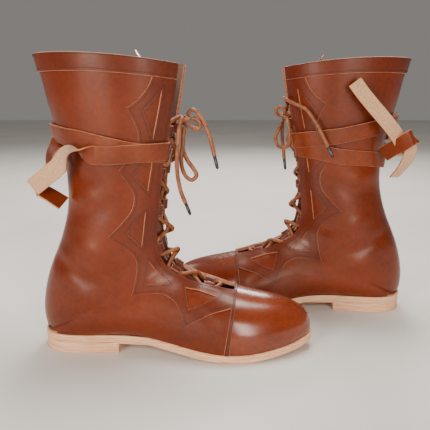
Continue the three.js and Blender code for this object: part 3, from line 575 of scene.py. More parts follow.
class Nodes:
    """Short calls for building one material."""

    def __init__(self, name, roughness, coat=0.0, sheen=0.0, metallic=0.0):
        self.material = bpy.data.materials.new(name)
        self.material.use_nodes = True
        self.tree = self.material.node_tree
        self.shader = self.tree.nodes["Principled BSDF"]
        self.shader.inputs["Roughness"].default_value = roughness
        self.shader.inputs["Coat Weight"].default_value = coat
        self.shader.inputs["Coat Roughness"].default_value = 0.22
        self.shader.inputs["Sheen Weight"].default_value = sheen
        self.shader.inputs["Metallic"].default_value = metallic
        self.place = self.node("ShaderNodeTexCoord").outputs["Object"]

    def node(self, kind, **values):
        made = self.tree.nodes.new(kind)
        for key, value in values.items():
            setattr(made, key, value)
        return made

    def link(self, out, into):
        self.tree.links.new(out, into)

    def scaled(self, x, y, z):
        made = self.node("ShaderNodeMapping")
        made.inputs["Scale"].default_value = (x, y, z)
        self.link(self.place, made.inputs["Vector"])
        return made.outputs["Vector"]

    def noise(self, scale, detail=3, rough=0.55, place=None, warp=0.0):
        made = self.node("ShaderNodeTexNoise")
        made.inputs["Scale"].default_value = scale
        made.inputs["Detail"].default_value = detail
        made.inputs["Roughness"].default_value = rough
        made.inputs["Distortion"].default_value = warp
        self.link(place or self.place, made.inputs["Vector"])
        return made.outputs["Fac"]

    def cells(self, scale):
        made = self.node("ShaderNodeTexVoronoi", feature="F1")
        made.inputs["Scale"].default_value = scale
        self.link(self.place, made.inputs["Vector"])
        return made.outputs["Distance"]

    def band(self, value, stops):
        made = self.node("ShaderNodeValToRGB")
        elements = made.color_ramp.elements
        elements[0].position, elements[0].color = stops[0]
        elements[1].position, elements[1].color = stops[-1]
        for position, colour in stops[1:-1]:
            elements.new(position).color = colour
        self.link(value, made.inputs["Fac"])
        return made.outputs["Color"]

    def ramp(self, value, *stops):
        """Colour through rising stops of (position, 0-255 colour)."""
        return self.band(value, [(position, srgb(*colour)) for position, colour in stops])

    def mask(self, value, low, high, top):
        """Share of a mix: 0 up to low, rising to top at high."""
        return self.band(value, [(low, (0, 0, 0, 1)), (high, (top, top, top, 1))])

    def mix(self, share, one, two):
        made = self.node("ShaderNodeMix", data_type="RGBA", blend_type="MIX")
        for source, index in ((share, 0), (one, 6), (two, 7)):
            if isinstance(source, (float, tuple)):
                made.inputs[index].default_value = source
            else:
                self.link(source, made.inputs[index])
        return made.outputs[2]

    def colour(self, value):
        self.link(value, self.shader.inputs["Base Color"])

    def rough(self, value, low, high):
        made = self.node("ShaderNodeMapRange")
        made.inputs["To Min"].default_value = low
        made.inputs["To Max"].default_value = high
        self.link(value, made.inputs["Value"])
        self.link(made.outputs["Result"], self.shader.inputs["Roughness"])

    def bump(self, *layers):
        """Layers of (height, strength, distance in metres)."""
        before = None
        for height, strength, distance in layers:
            made = self.node("ShaderNodeBump")
            made.inputs["Strength"].default_value = strength
            made.inputs["Distance"].default_value = distance
            self.link(height, made.inputs["Height"])
            if before:
                self.link(before, made.inputs["Normal"])
            before = made.outputs["Normal"]
        self.link(before, self.shader.inputs["Normal"])


def leather(name, deep, middle, pale, roughness, coat, grain=0.12):
    """Vegetable-tanned grain leather: cloudy colour, fine pores and faint stretch lines."""
    made = Nodes(name, roughness, coat)
    made.shader.inputs["Specular IOR Level"].default_value = 0.35
    made.shader.inputs["Specular Tint"].default_value = (1.0, 0.8, 0.62, 1)
    made.shader.inputs["Coat Tint"].default_value = (1.0, 0.93, 0.87, 1)
    clouds = made.noise(14, 4, 0.6, warp=0.4)
    colour = made.ramp(clouds, (0.3, deep), (0.5, middle), (0.72, pale))
    fine = made.noise(220, 3, 0.6)
    made.colour(made.mix(0.35, colour, made.ramp(fine, (0.35, deep), (0.7, pale))))
    pores = made.cells(1100)
    streaks = made.noise(1, 4, 0.6, place=made.scaled(260, 260, 60), warp=0.3)
    soft = made.noise(34, 3, 0.5, warp=0.6)
    made.rough(made.noise(60, 3), roughness - 0.05, roughness + 0.1)
    made.bump((soft, 0.3, 0.0012), (streaks, 0.12, 0.0003), (pores, grain, 0.00025))
    return made.material


def suede(name, base, pale, dark):
    """Flesh side: short nap with pale and dark specks."""
    made = Nodes(name, 0.92, sheen=0.35)
    nap = made.noise(900, 4, 0.7)
    specks = made.noise(420, 2, 0.5)
    colour = made.ramp(nap, (0.3, dark), (0.5, base), (0.72, pale))
    colour = made.mix(made.mask(specks, 0.62, 0.72, 0.55), colour, srgb(*dark))
    made.colour(made.mix(made.mask(made.noise(30, 3), 0.35, 0.75, 0.3), colour, srgb(*pale)))
    made.bump((nap, 0.5, 0.0004), (made.noise(90, 3), 0.3, 0.0005))
    return made.material


def cut_leather(name, base, line):
    """Cut or stacked edge of natural leather, with the fibre lying level."""
    made = Nodes(name, 0.72)
    level = made.noise(1, 5, 0.65, place=made.scaled(40, 40, 1150))
    colour = made.ramp(level, (0.34, line), (0.52, base), (0.75, base))
    stains = made.noise(26, 3, 0.5)
    made.colour(made.mix(made.mask(stains, 0.5, 0.8, 0.4), colour, srgb(*line)))
    made.bump((level, 0.35, 0.0003), (made.noise(700, 3), 0.25, 0.0002))
    return made.material


def lace_leather():
    made = Nodes("lace_leather", 0.55, 0.05)
    length = made.noise(120, 4, 0.6, warp=0.8)
    made.colour(made.ramp(length, (0.3, (98, 50, 24)), (0.52, (140, 78, 40)), (0.75, (168, 102, 60))))
    made.bump((made.noise(600, 4, 0.7), 0.4, 0.0003), (made.cells(500), 0.15, 0.0002))
    return made.material


def thread():
    made = Nodes("thread", 0.7)
    made.colour(made.ramp(made.noise(900, 2), (0.35, (40, 17, 10)), (0.7, (66, 30, 18))))
    made.bump((made.noise(2500, 2), 0.4, 0.0001))
    return made.material


def metal(name, scale, dark, pale):
    made = Nodes(name, 0.4, metallic=0.9)
    made.colour(made.ramp(made.noise(scale, 3), (0.3, dark), (0.7, pale)))
    return made


def gunmetal():
    made = metal("gunmetal", 150, (44, 46, 50), (84, 86, 92))
    made.rough(made.noise(300, 3), 0.25, 0.45)
    made.bump((made.noise(500, 3), 0.12, 0.0001))
    return made.material


SADDLE = leather("saddle_leather", (82, 24, 3), (102, 33, 6), (120, 43, 12), 0.36, 0.25)
CAP = leather("cap_leather", (88, 28, 4), (110, 39, 9), (130, 51, 15), 0.24, 0.8, 0.08)
TRIM = leather("trim_leather", (78, 22, 5), (96, 30, 8), (112, 40, 13), 0.38, 0.25)
STRAP_GRAIN = leather("strap_leather", (90, 30, 8), (112, 42, 14), (130, 56, 24), 0.36, 0.25)
# Darker copy of the upper's leather for the tongue: painted shade for the tongue lying inside the boot's
# opening.
SHADED_TONGUE_GRAIN = leather("tongue_leather", (66, 21, 8), (86, 29, 11), (108, 45, 23), 0.28, 0.5)
FLESH_SIDE = suede("flesh_side", (118, 88, 74), (142, 112, 96), (92, 64, 52))
STRAP_SUEDE = suede("strap_suede", (196, 150, 112), (216, 174, 138), (160, 112, 76))
RAW = cut_leather("raw_edge", (188, 122, 86), (150, 82, 52))
# Darker copy of the raw cut edge: painted shade for cut edges in shadow; used on the tongue.
SHADED_RAW_EDGE = cut_leather("shaded_raw_edge", (112, 66, 46), (80, 44, 30))
SOLE = cut_leather("sole_leather", (236, 188, 146), (206, 130, 82))
WELT = cut_leather("welt_leather", (236, 190, 150), (206, 128, 80))
BOTTOM = suede("sole_underside", (206, 170, 134), (222, 190, 156), (180, 138, 104))
LACE_SKIN = lace_leather()
THREAD = thread()
GUNMETAL = gunmetal()
STEEL = metal("shank_steel", 200, (120, 122, 125), (160, 162, 165)).material

UPPER_SET = (SADDLE, FLESH_SIDE, RAW)
TRIM_SET = (TRIM, FLESH_SIDE, RAW)
STRAP_SET = (STRAP_GRAIN, STRAP_SUEDE, RAW)


# ---- Camera, cords and lace ----
BOOTS = [Boot("right", 1), Boot("left", -1)]


def add_camera():
    heel = BOOTS[0].origin
    data = bpy.data.cameras.new("camera")
    data.lens, data.sensor_width = 50, 36
    camera = new_object("camera", data)
    place = (heel[0] - RIGHT_HEEL[0], heel[1] - RIGHT_HEEL[1], CAMERA_HEIGHT)
    camera.location = [value / 1000 for value in place]
    camera.rotation_euler = (math.radians(CAMERA_TILT), 0, 0)
    bpy.context.scene.camera = camera


CORD_ROUTES = {
    "right": {
        "bow_loop_short": [
            (168.6, -3, 253), (172, -4, 252.5), (176.5, -6.5, 248), (176, -9.5, 243), (172, -10.5, 243),
            (167.5, -9.5, 246.2)],
        "bow_loop_long": [
            (162.5, -3, 244.6), (159.5, -4, 236), (158.5, -4, 222), (163, -4, 210), (169.5, -5, 201),
            (173, -7, 194), (168.5, -9, 189.5), (162.5, -10, 193), (158.5, -11, 202), (157.5, -11, 214),
            (159.5, -10.5, 228), (160, -10, 238), (160.5, -8.5, 243.6)],
        "lace_end_front": [
            (164, -1.5, 257.4), (166.5, -1.5, 261), (171, -2, 261.5), (177, -3, 255), (183.5, -5, 243),
            (188.5, -7, 229), (192, -8, 215)],
        "lace_end_side": [
            (158.5, -10.5, 254), (157, -16.5, 246), (155.5, -20, 231), (154, -19, 212), (154.5, -17, 194),
            (157.5, -16, 178), (162, -15, 166)],
    },
    "left": {
        "bow_loop_long": [
            (156, -10.5, 247), (154, -21, 245), (152, -31, 237), (151, -33.5, 226), (151, -31, 216),
            (156.5, -24, 210), (164.5, -17, 213), (167, -13, 222), (163, -9, 232), (159.5, -6.5, 240.6)],
        "bow_loop_short": [
            (163.8, -6, 250), (167, -8, 253), (166.5, -9.5, 257.5), (161.5, -10.5, 259.5),
            (156.5, -11, 256), (156, -8.8, 251.8)],
        "lace_end_front": [
            (158.5, -1, 240.8), (158.5, -1, 228), (157.5, -2, 214), (156, -2, 202), (155, -2, 194)],
        "lace_end_side": [
            (154, 1, 254), (153, -3, 263), (158, -22, 270.5), (153, -37.5, 268), (142, -44, 263),
            (133, -48, 258.5), (126, -52.5, 250), (118, -57, 237), (111, -60, 224), (107, -61.5, 216)],
    },
}
SHORTEST_CORD = 0.03  # metres; a shorter cord ends its pass through add_cords early
KNOT = {"right": np.array((161.0, -2, 251)), "left": np.array((157.0, -3, 247))}


def aglet(boot, name, route):
    """A turned metal tip with two grooves, on the end of a lace."""
    end, along = route[-1], unit(route[-1] - route[-2])
    side = unit(np.cross(along, (0.3, 0.9, 0.2)))
    other = np.cross(along, side)
    half = AGLET / 2
    profile = [(0, half * 0.7), (0.35, half), (1.6, half), (1.9, half * 0.9), (2.2, half), (3.2, half),
               (3.5, half * 0.9), (3.8, half), (9, half * 0.97), (12.6, half * 0.86), (13.6, half * 0.62),
               (AGLET_LENGTH, half * 0.25)]
    points, sides = [], 16
    for far, radius in profile:
        for k in range(sides):
            angle = 2 * math.pi * k / sides
            offset = side * math.cos(angle) * radius + other * math.sin(angle) * radius
            points.append(end + along * (GAP + far) + offset)
    faces = between_rings(len(profile), sides) + end_lids(len(profile), sides)
    part = outward((points, faces, [GRAIN] * len(faces)))
    node = name.replace("lace_end", "aglet")
    return piece(boot, node + "_tip", part, [GUNMETAL], [node])


def add_cords(boot):
    for name, points in CORD_ROUTES[boot.name].items():
        route = curve(points, 10)
        part = tube(route, LACE / 2 - 0.1)
        cord = piece(boot, name + "_cord", part, [LACE_SKIN], [name])
        length = float(run_length(route)[-1]) / 1000
        ends = [aglet(boot, name, route)] if name.startswith("lace_end") else []
        if length < SHORTEST_CORD:
            continue
        tuple(boot.row(route[0]))
        [tuple(p) for p in boot.row(route)]


def loop_axes(level, side):
    """A lace loop's place on the facing edge, and the axes along it, into the opening and outwards."""
    t = LOOP_STATIONS[level]
    at = lambda value: smooth_point(value, side, edge_v(value))
    along = unit(at(t + 0.15) - at(t - 0.15))
    out = smooth_normal(t, side, edge_v(t))
    inward = unit(np.cross(along, out))
    if inward[1] * side > 0:
        inward = -inward
    square = unit(np.cross(inward, along))
    if np.dot(square, out) < 0:
        square = -square
    return at(t), along, inward, square


def eye_centre(level, side):
    edge, _, inward, out = loop_axes(level, side)
    return edge - out * (UPPER + GAP + LOOP + STAY_STEP) + inward * EYE_REACH


def lace_start(boot, side):
    return KNOT[boot.name] + (-6, side * 5.3, 3.8)


def lace_points(boot):
    """One cord, from the knot down one zig-zag, across the bottom and up the other."""
    points = [lace_start(boot, -1)]
    lowest = len(LOOP_STATIONS) - 1
    strap_inset, over_strap = 9, 4.2  # where the lace crosses the strap's edges
    sag = 0.72  # how far the lace drops at a loop's ends
    run = LOOP_LENGTH / 2 + 2.1  # straight run of lace each way from a loop's middle

    def eye(level, side, end):
        _, along, _, out = loop_axes(level, side)
        return eye_centre(level, side) - out * sag * abs(end) + along * end * run

    def cross(level, side, over):
        """Points between one loop and the next; the upper strand of each cross goes over."""
        t = (LOOP_STATIONS[level] + LOOP_STATIONS[level + 1]) / 2
        rise = 0 if level == 0 else table(TONGUE_RISE, t)
        lift = LACE / 2 + 2.2 + (LACE + 0.6 if over else 0)
        middle = chord_point(t, 0, rise + lift)
        if level > 0:
            return [middle]
        upper, lower = LOOP_STATIONS[0] - 0.45, LOOP_STATIONS[1] + 0.45
        return [chord_point(upper, side * (half_gap(upper) - strap_inset), over_strap), middle,
                chord_point(lower, -side * (half_gap(lower) - strap_inset), over_strap)]

    for level in range(lowest + 1):
        side = -1.0 if level % 2 == 0 else 1.0
        points += [eye(level, side, end) for end in (1, 0, -1)]
        if level < lowest:
            points += cross(level, side, level % 2 == 0)
    points.append(chord_point(LOOP_STATIONS[lowest] - 1.3, 0, 0.5))
    for level in range(lowest, -1, -1):
        side = 1.0 if level % 2 == 0 else -1.0
        points += [eye(level, side, end) for end in (-1, 0, 1)]
        if level > 0:
            points += cross(level - 1, -side, level % 2 == 0)[::-1]
    return points + [lace_start(boot, 1)]


def add_lace(boot):
    part = tube(curve(lace_points(boot), 7), LACE / 2 - 0.05, 12)
    piece(boot, "lace_zigzag", part, [LACE_SKIN], ["lace"])
    knot, solid = KNOT[boot.name], Solid()
    for tilt, turn, size in ((0.1, 0.0, 3.9), (0.9, 0.5, 3.5)):
        ring = []
        for angle in np.linspace(0.2, 2 * math.pi + 0.5, 22):
            x, z = size * 0.75 * math.sin(angle) * math.sin(turn), size * math.cos(angle)
            y = size * 0.85 * math.sin(angle) * math.cos(turn)
            drift = (angle / math.pi - 1) * 1.3
            ring.append(knot + (x + drift + tilt * z * 0.6, y, z * 0.85))
        solid.add(*tube(ring, LACE / 2 - 0.1))
    strands = [[lace_start(boot, side), knot + (-3, side * 3.5, 2.6), knot] for side in (-1, 1)]
    strands.append([knot + (5.2, -2.2, 1.5), knot + (0, -4.6, 0.4), knot + (-3.8, -4.4, -2.4)])
    for strand in strands:
        solid.add(*tube(curve(strand, 5), LACE / 2 - 0.2))
    piece(boot, "bow_knot_turns", solid.part(), [LACE_SKIN], ["bow_knot"])


add_camera()
for one in BOOTS:
    add_cords(one)
    add_lace(one)


# ---- Upper ----
LIP = 0.02  # width of a cut edge along the boot, in stations
V_LIP = 0.004  # the same round the boot
STRIP_TOP = 1.45  # grain face of each layer above the quarter's
COLLAR_TOP = 1.95
OVERLAY_TOP = OVERLAY + 0.12


def column(values):
    return np.asarray(values)[:, None]


def sides_of(share):
    return np.where(share < 0, -1.0, 1.0)


def add_toe(boot):
    """The toe cap, and the strip sewn over its seam."""
    share = np.linspace(-1, 1, 97)
    rows = np.concatenate([np.linspace(0.03, 1.2, 22), np.linspace(1.3, 5.98, 56)])
    part = layer(column(rows), sides_of(share), 1 - np.abs(share), 0, UPPER)
    piece(boot, "toe_cap_leather", part, (CAP, FLESH_SIDE, RAW), ["toe_cap"])
    share = steps(-1, 1, 90, V_LIP, V_LIP)
    width = STRIP_WIDTH / STATION_PITCH
    low, high = CAP_SEAM - width * 0.75, CAP_SEAM + width * 0.3
    rows = steps(low, high, 5, LIP, LIP)
    part = layer(column(rows), sides_of(share), 1 - np.abs(share) * 0.99, STRIP_TOP, 1.3, "selr", 0.6)
    piece(boot, "toe_cap_strip_leather", part, TRIM_SET, ["toe_cap_strip"])


def seam_v(t):
    """v that keeps a quarter off the centre plane at the back seam."""
    return np.where(t < HEEL_STATION, 0.0, np.arcsin(GAP / section(t)[2]) / math.pi)


def add_quarter(boot, side, label):
    t = column(steps(CAP_SEAM + 0.015, TOP_STATION, 150, 0, LIP))
    share = steps(0, 1, 46, 0, V_LIP)
    low = seam_v(t[:, 0])[:, None]
    v = low + (edge_v(t[:, 0])[:, None] - low) * share
    part = layer(t, float(side), v, 0, UPPER, "er")
    piece(boot, "quarter_" + label + "_leather", part, UPPER_SET, ["quarter_" + label])


COLLAR_LOW = TOP_STATION - COLLAR_HEIGHT / STATION_PITCH
OVERLAY_HIGH = COLLAR_LOW - 0.01


def add_collar(boot):
    share = steps(-1, 1, 110, V_LIP, V_LIP)
    t = column(steps(COLLAR_LOW, TOP_STATION, 9, LIP, LIP))
    v = edge_v(t[:, 0])[:, None] * np.abs(share)
    part = layer(t, sides_of(share), v, COLLAR_TOP, 1.8, "selr")
    piece(boot, "collar_leather", part, TRIM_SET, ["collar_band"])


CUT_BEVEL = 0.3
OVERLAY_THREAD = OVERLAY + 0.1  # height of its stitches
# Side view of the facing overlay: one run of points between each two spikes, top to toe.
OVERLAY_RUNS = [
    [(133.8, 290.5), (128.5, 281), (120.5, 271.5), (109, 263)],
    [(109, 263), (115.5, 251), (118.5, 241), (118, 231), (112, 220), (98, 203)],
    [(98, 203), (106, 191), (112, 178), (109.5, 163), (99, 149), (84, 134)],
    [(84, 134), (97, 125), (107, 116), (111.5, 106), (110.5, 88), (106, 69)],
    [(106, 69), (121, 70.5), (139, 70), (151, 63), (158, 53), (163, 38)],
    [(163, 38), (176, 45), (190, 51.5), (213, 56.5)],
]
# The overlay's cut-out windows in the same view, one run of points a side.
WINDOWS = [
    [[(142, 280), (133, 269), (125, 260)], [(125, 260), (129, 248), (132, 235)],
     [(132, 235), (137, 256), (142, 280)]],
    [[(130, 211), (123, 211)], [(123, 211), (113, 199)], [(113, 199), (125, 182)],
     [(125, 182), (130, 211)]],
    [[(122, 159), (112, 149), (104, 138)], [(104, 138), (117, 123)], [(117, 123), (122, 159)]],
    [[(124, 104), (121, 81)], [(121, 81), (143, 81)], [(143, 81), (133, 91), (124, 104)]],
    [[(162, 75), (178, 71.5), (195, 66)], [(195, 66), (180, 60), (167, 56)],
     [(167, 56), (164.5, 65), (162, 75)]],
]


def flat_runs(runs, pitch=1.8):
    """Evenly spaced side-view points along curved runs, without each run's last point."""
    out = []
    for run in runs:
        path = curve([(x, 0, z) for x, z in run], 12)[:, [0, 2]]
        length = run_length(path)
        count = max(int(length[-1] / pitch), 2)
        at = np.linspace(0, length[-1], count + 1)[:-1]
        out += [(np.interp(a, length, path[:, 0]), np.interp(a, length, path[:, 1])) for a in at]
    return np.array(out)


def clockwise(ring):
    area = np.sum(ring[:, 0] * np.roll(ring[:, 1], -1) - np.roll(ring[:, 0], -1) * ring[:, 1])
    return ring[::-1] if area > 0 else ring


def inset(path, distance, closed):
    """Moves a side-view path to its left by the distance, mitred at corners."""
    before = np.roll(path, 1, 0) if closed else np.vstack([path[:1], path[:-1]])
    after = np.roll(path, -1, 0) if closed else np.vstack([path[1:], path[-1:]])
    first, second = unit(path - before), unit(after - path)
    if not closed:
        first[0], second[-1] = second[0], first[-1]
    mean = unit(first + second)
    open_share = np.clip(np.abs(np.sum(mean * first, -1)), 0.4, 1)
    left = np.stack([-mean[:, 1], mean[:, 0]], -1)
    return path + left * (distance / open_share)[:, None]


def places(path):
    """Side-view points as rows of (station, v)."""
    return np.array([place_at(x, z) for x, z in path])


def inside(points, polygon):
    """Which points lie inside the polygon."""
    x, z = points[:, 0][:, None], points[:, 1][:, None]
    a, b = polygon, np.roll(polygon, -1, 0)
    spans = (a[:, 1] > z) != (b[:, 1] > z)
    with np.errstate(divide="ignore", invalid="ignore"):
        cross = a[:, 0] + (z - a[:, 1]) * (b[:, 0] - a[:, 0]) / (b[:, 1] - a[:, 1])
    return (np.sum(spans & (x < cross), axis=1) % 2) == 1


def in_overlay(points, rings):
    """Which side-view points lie inside the overlay's outline and outside its windows."""
    found = inside(points, rings[0])
    for window in rings[1:]:
        found &= ~inside(points, window)
    return found


def nearest(points, others):
    return np.min(np.linalg.norm(points[:, None] - others[None], axis=-1), axis=1)


def side_view(tv):
    return smooth_point(tv[:, 0], -1.0, tv[:, 1])[:, [0, 2]]


def overlay_rings():
    """Outer ring and window rings as (station, v) at the cut edge, and the same rings bevelled in."""
    back = flat_runs(OVERLAY_RUNS)
    edge, top = places(back), places(inset(back, CUT_BEVEL, False))
    edge[0, 0] = top[0, 0] = OVERLAY_HIGH
    seam = CAP_SEAM + 0.045
    low_v = np.linspace(place_at(212.4, 56.5)[1], edge_v(seam), 9)[:-1]
    bottom = np.column_stack([np.full(8, seam), low_v])
    t = np.concatenate([np.linspace(seam, 15, 70), np.linspace(15.2, OVERLAY_HIGH, 120)])
    front = np.column_stack([t, edge_v(t)])
    front_top = np.column_stack([t, v_at_half_width(t, half_gap(t) + CUT_BEVEL)])
    v = np.linspace(front[-1, 1], edge[0, 1], 14)[1:-1]
    upper = np.column_stack([np.full(len(v), OVERLAY_HIGH), v])
    rings = [(np.vstack([edge, bottom, front, upper]), np.vstack([top, bottom, front_top, upper]))]
    for window in WINDOWS:
        ring = clockwise(flat_runs(window))
        rings.append((places(ring), places(inset(ring, CUT_BEVEL, True))))
    return rings


RINGS = overlay_rings()


def overlay_net():
    """Triangles of the overlay's flat face over its bevelled rings and inner grid points."""
    rings = [top for _, top in RINGS]
    flat = [side_view(ring) for ring in rings]
    grid_t, grid_v = np.meshgrid(np.arange(6.2, COLLAR_LOW - 0.1, 0.16), np.arange(0.2, 0.97, 0.02))
    grid = np.column_stack([grid_t.ravel(), grid_v.ravel()])
    grid = grid[grid[:, 1] < edge_v(grid[:, 0]) - 0.01]
    at = side_view(grid)
    keep = in_overlay(at, flat) & (nearest(at, np.vstack(flat)) > 1.1)
    grid, at = grid[keep], at[keep]
    tv = np.vstack(rings + [grid])
    flat_points = np.vstack(flat + [at])
    edges, start = [], 0
    for ring in rings:
        edges += [(start + k, start + (k + 1) % len(ring)) for k in range(len(ring))]
        start += len(ring)
    made = geometry.delaunay_2d_cdt([Vector(p) for p in flat_points], edges, [], 0, 1e-7)
    source = [ids[0] if ids else -1 for ids in made[3]]
    tris = np.array([[source[k] for k in tri] for tri in made[2]])
    tris = tris[(tris >= 0).all(1)]
    return tv, tris[in_overlay(flat_points[tris].mean(1), flat)]


NET = overlay_net()


def add_overlay(boot, side, label):
    """The overlay: flat grain face, bevelled cut edges and a flesh face on the quarter."""
    tv, tris = NET
    low, side_drop = 0.06, 0.75
    count = len(tv)
    edge = np.vstack([ring for ring, _ in RINGS])
    lift = lambda where, offset: layer_point(where[:, 0], float(side), where[:, 1],
                                             np.full(len(where), offset))
    under = tv.copy()
    under[:len(edge)] = edge
    points = np.vstack([lift(tv, OVERLAY_TOP), lift(edge, OVERLAY_TOP - side_drop), lift(under, low)])
    faces = [tuple(int(k) for k in tri) for tri in tris]
    kinds = [GRAIN] * len(faces)
    below = count + len(edge)
    faces += [tuple(int(k) + below for k in reversed(tri)) for tri in tris]
    kinds += [FLESH] * len(tris)
    start = 0
    for ring, _ in RINGS:
        for k in range(len(ring)):
            a, b = start + k, start + (k + 1) % len(ring)
            faces += [(b, a, count + a, count + b), (count + b, count + a, below + a, below + b)]
            kinds += [EDGE, EDGE]
        start += len(ring)
    part = outward((points, faces, kinds))
    node = "facing_overlay_" + label
    piece(boot, "overlay_" + label, part, TRIM_SET, [node], sharp=30)


def overlay_stitches(solid, side):
    """Rows beside the overlay's cut edges, left out where they would run into another edge."""
    back = flat_runs(OVERLAY_RUNS, 1.2)
    windows = [flat_runs(window, 1.2) for window in WINDOWS]
    cuts = np.vstack([back] + windows)
    rows = [inset(back, 2.6, False)]
    for ring in windows:
        path = inset(clockwise(ring), 2.4, True)
        rows.append(np.vstack([path, path[:1]]))
    for path in rows:
        good = nearest(path, cuts) > 1.9
        groups = np.split(np.arange(len(path)), np.nonzero(~good)[0])
        for group in groups:
            group = [k for k in group if good[k]]
            if len(group) > 3:
                tv = places(path[group])
                tv = tv[tv[:, 0] < COLLAR_LOW - 0.05]
                surface_row(solid, tv[:, 0], side, tv[:, 1], OVERLAY_THREAD)
    t = np.linspace(CAP_SEAM + 0.3, COLLAR_LOW - 0.05, 160)
    surface_row(solid, t, side, v_at_half_width(t, half_gap(t) + EDGE_INSET), OVERLAY_THREAD)


def add_stitches(boot):
    for side, label in ((-1, "lateral"), (1, "medial")):
        solid = Solid()
        overlay_stitches(solid, side)
        back = np.linspace(15.4, COLLAR_LOW - 0.05, 80)
        surface_row(solid, back, side, np.arcsin(2.8 / section(back)[2]) / math.pi, 0.02)
        share = np.linspace(0.012, 0.985, 120)
        for t in (COLLAR_LOW + 0.11, TOP_STATION - 0.09):
            surface_row(solid, np.full(120, t), side, edge_v(t) * share, COLLAR_TOP - 0.03)
        rise = np.linspace(COLLAR_LOW + 0.1, TOP_STATION - 0.1, 12)
        v = v_at_half_width(rise, half_gap(rise) + EDGE_INSET)
        surface_row(solid, rise, side, v, COLLAR_TOP - 0.03)
        cap = np.linspace(0.03, 0.99, 90)
        for t in (CAP_SEAM - 0.105, CAP_SEAM):
            surface_row(solid, np.full(90, t), side, cap, STRIP_TOP - 0.03)
        piece(boot, "stitching_" + label, solid.part(), [THREAD], ())


# ---- Tongue ----
UNDER_LOOPS = UPPER + GAP + 2 * LOOP + LACE + EYE_SLACK
TONGUE_TOP = 25.6
FLAP_TIP = (110.0, 323.0)
FLAP_SHOULDER = 0.8  # share of its height where it starts to taper
FLAP_FOOT = chord_point(TONGUE_TOP + 0.12, 0, float(table(TONGUE_RISE, TONGUE_TOP)))


def tongue_rows(t, y, lower):
    """Grid of tongue points for stations t and widths y across."""
    side = np.where(y < 0, -1.0, 1.0)
    v = v_at_half_width(t[:, None], np.abs(y))
    base = layer_point(t[:, None], side, v, np.broadcast_to(-UNDER_LOOPS - lower, v.shape))
    share = np.cos(np.clip(np.abs(y) / (half_gap(t)[:, None] - 8), 0, 1) * math.pi / 2) ** 2
    edge, shin = smooth_point(t, -1.0, edge_v(t)), smooth_normal(t, -1.0, 1.0)
    top = edge[:, None] + (shin * (table(TONGUE_RISE, t) - lower)[:, None])[:, None]
    top = np.broadcast_to(top, base.shape).copy()
    top[..., 1] = y + swing(edge[:, 0])[:, None] + (shin[:, 1] * (table(TONGUE_RISE, t) - lower))[:, None]
    return base + (top - base) * share[..., None]


def flap_point(share, across, lower):
    """Point of the tongue's free top, which leans back into the shaft and ends in a point."""
    tip = np.array([FLAP_TIP[0], FLAP_FOOT[1], FLAP_TIP[1]])
    point = FLAP_FOOT + (tip - FLAP_FOOT) * share
    point[0] += 5 * math.sin(math.pi * share)
    taper = 1 - 0.95 * max(share - FLAP_SHOULDER, 0) / (1 - FLAP_SHOULDER)
    y = across * TONGUE_HALF * (1 - 0.15 * share) * taper
    bend = (y / TONGUE_HALF) ** 2
    return point + (-9 * bend - lower * 0.9, y, -1.5 * bend - lower * 0.4)


def add_tongue(boot):
    across = steps(-1, 1, 25, 0.03, 0.03)
    t = np.linspace(CAP_SEAM + 0.12, TONGUE_TOP, 90)
    shares = steps(0.02, 1, 34, 0, 0.012)
    grids = []
    for lower in (0.0, TONGUE):
        rows = tongue_rows(t, across * TONGUE_HALF, lower)
        grid = np.vstack([rows, [[flap_point(a, b, lower) for b in across] for a in shares]])
        for _ in range(12):
            for r in range(len(t) - 12, len(t) + 12):
                grid[r] = (grid[r - 1] + 2 * grid[r] + grid[r + 1]) / 4
        grids.append(grid)
    outer, inner = grids
    cut = np.zeros((outer.shape[0] - 1, outer.shape[1] - 1), bool)
    cut[:, 0] = cut[:, -1] = cut[-1] = True
    for border in (np.s_[:, 0], np.s_[:, -1], np.s_[-1]):
        outer[border] = outer[border] * 0.55 + inner[border] * 0.45
    part = outward(shell(outer, inner, cut))
    # The tongue's grain and cut edge take darker copies of the leather and the raw edge: painted shade.
    obj = piece(boot, "tongue_leather", part, (SHADED_TONGUE_GRAIN, FLESH_SIDE, SHADED_RAW_EDGE),
                ["tongue", "tongue_top"], rides=False)
    hinge = flap_point(0.0, 0, 0)
    up = unit(flap_point(0.5, 0, 0) - hinge)
    tuple(boot.row(hinge - up * 9))
    tuple(boot.row(hinge + up * 13))
    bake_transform(obj)


# ---- Lace loops ----
def add_loops(boot, side, label):
    solid = Solid()
    radius = LACE / 2 + EYE_SLACK + LOOP / 2
    ply = LOOP / 2 + 0.05
    start = math.pi - math.asin(ply / radius)
    root = -EYE_REACH - 1
    neck = root / 2 - 2  # where the two plies part round the eye
    for level in range(len(LOOP_STATIONS)):
        _, _, inward, out = loop_axes(level, side)
        centre = eye_centre(level, side)
        hand = np.cross(inward, out)
        flat = [(root, -ply), (neck, -ply)]
        flat += [(radius * math.cos(a), radius * math.sin(a)) for a in np.linspace(-start, start, 13)]
        flat += [(neck, ply), (root, ply)]
        keys = [(centre + inward * a + out * b, hand) for a, b in flat]
        solid.add(*ribbon(keys, LOOP_LENGTH, LOOP, 3, 0.1))
    t = column(np.linspace(LOOP_STATIONS[-1] - 0.6, LOOP_STATIONS[0] + 0.35, 110))
    share = np.linspace(0, 1, 7)
    v = v_at_half_width(t, half_gap(t) + STAY_WIDTH - (STAY_WIDTH + STAY_OVERHANG) * share)
    deep = UPPER + GAP + 0.5 * (1 - share)
    outer = layer_point(t, float(side), v, np.broadcast_to(-deep, v.shape))
    inner = layer_point(t, float(side), v, np.broadcast_to(-deep - LOOP * 1.2, v.shape))
    solid.add(*outward(shell(outer, inner)))
    piece(boot, "lace_loops_" + label, solid.part(), TRIM_SET, ["lacing_loops_" + label])


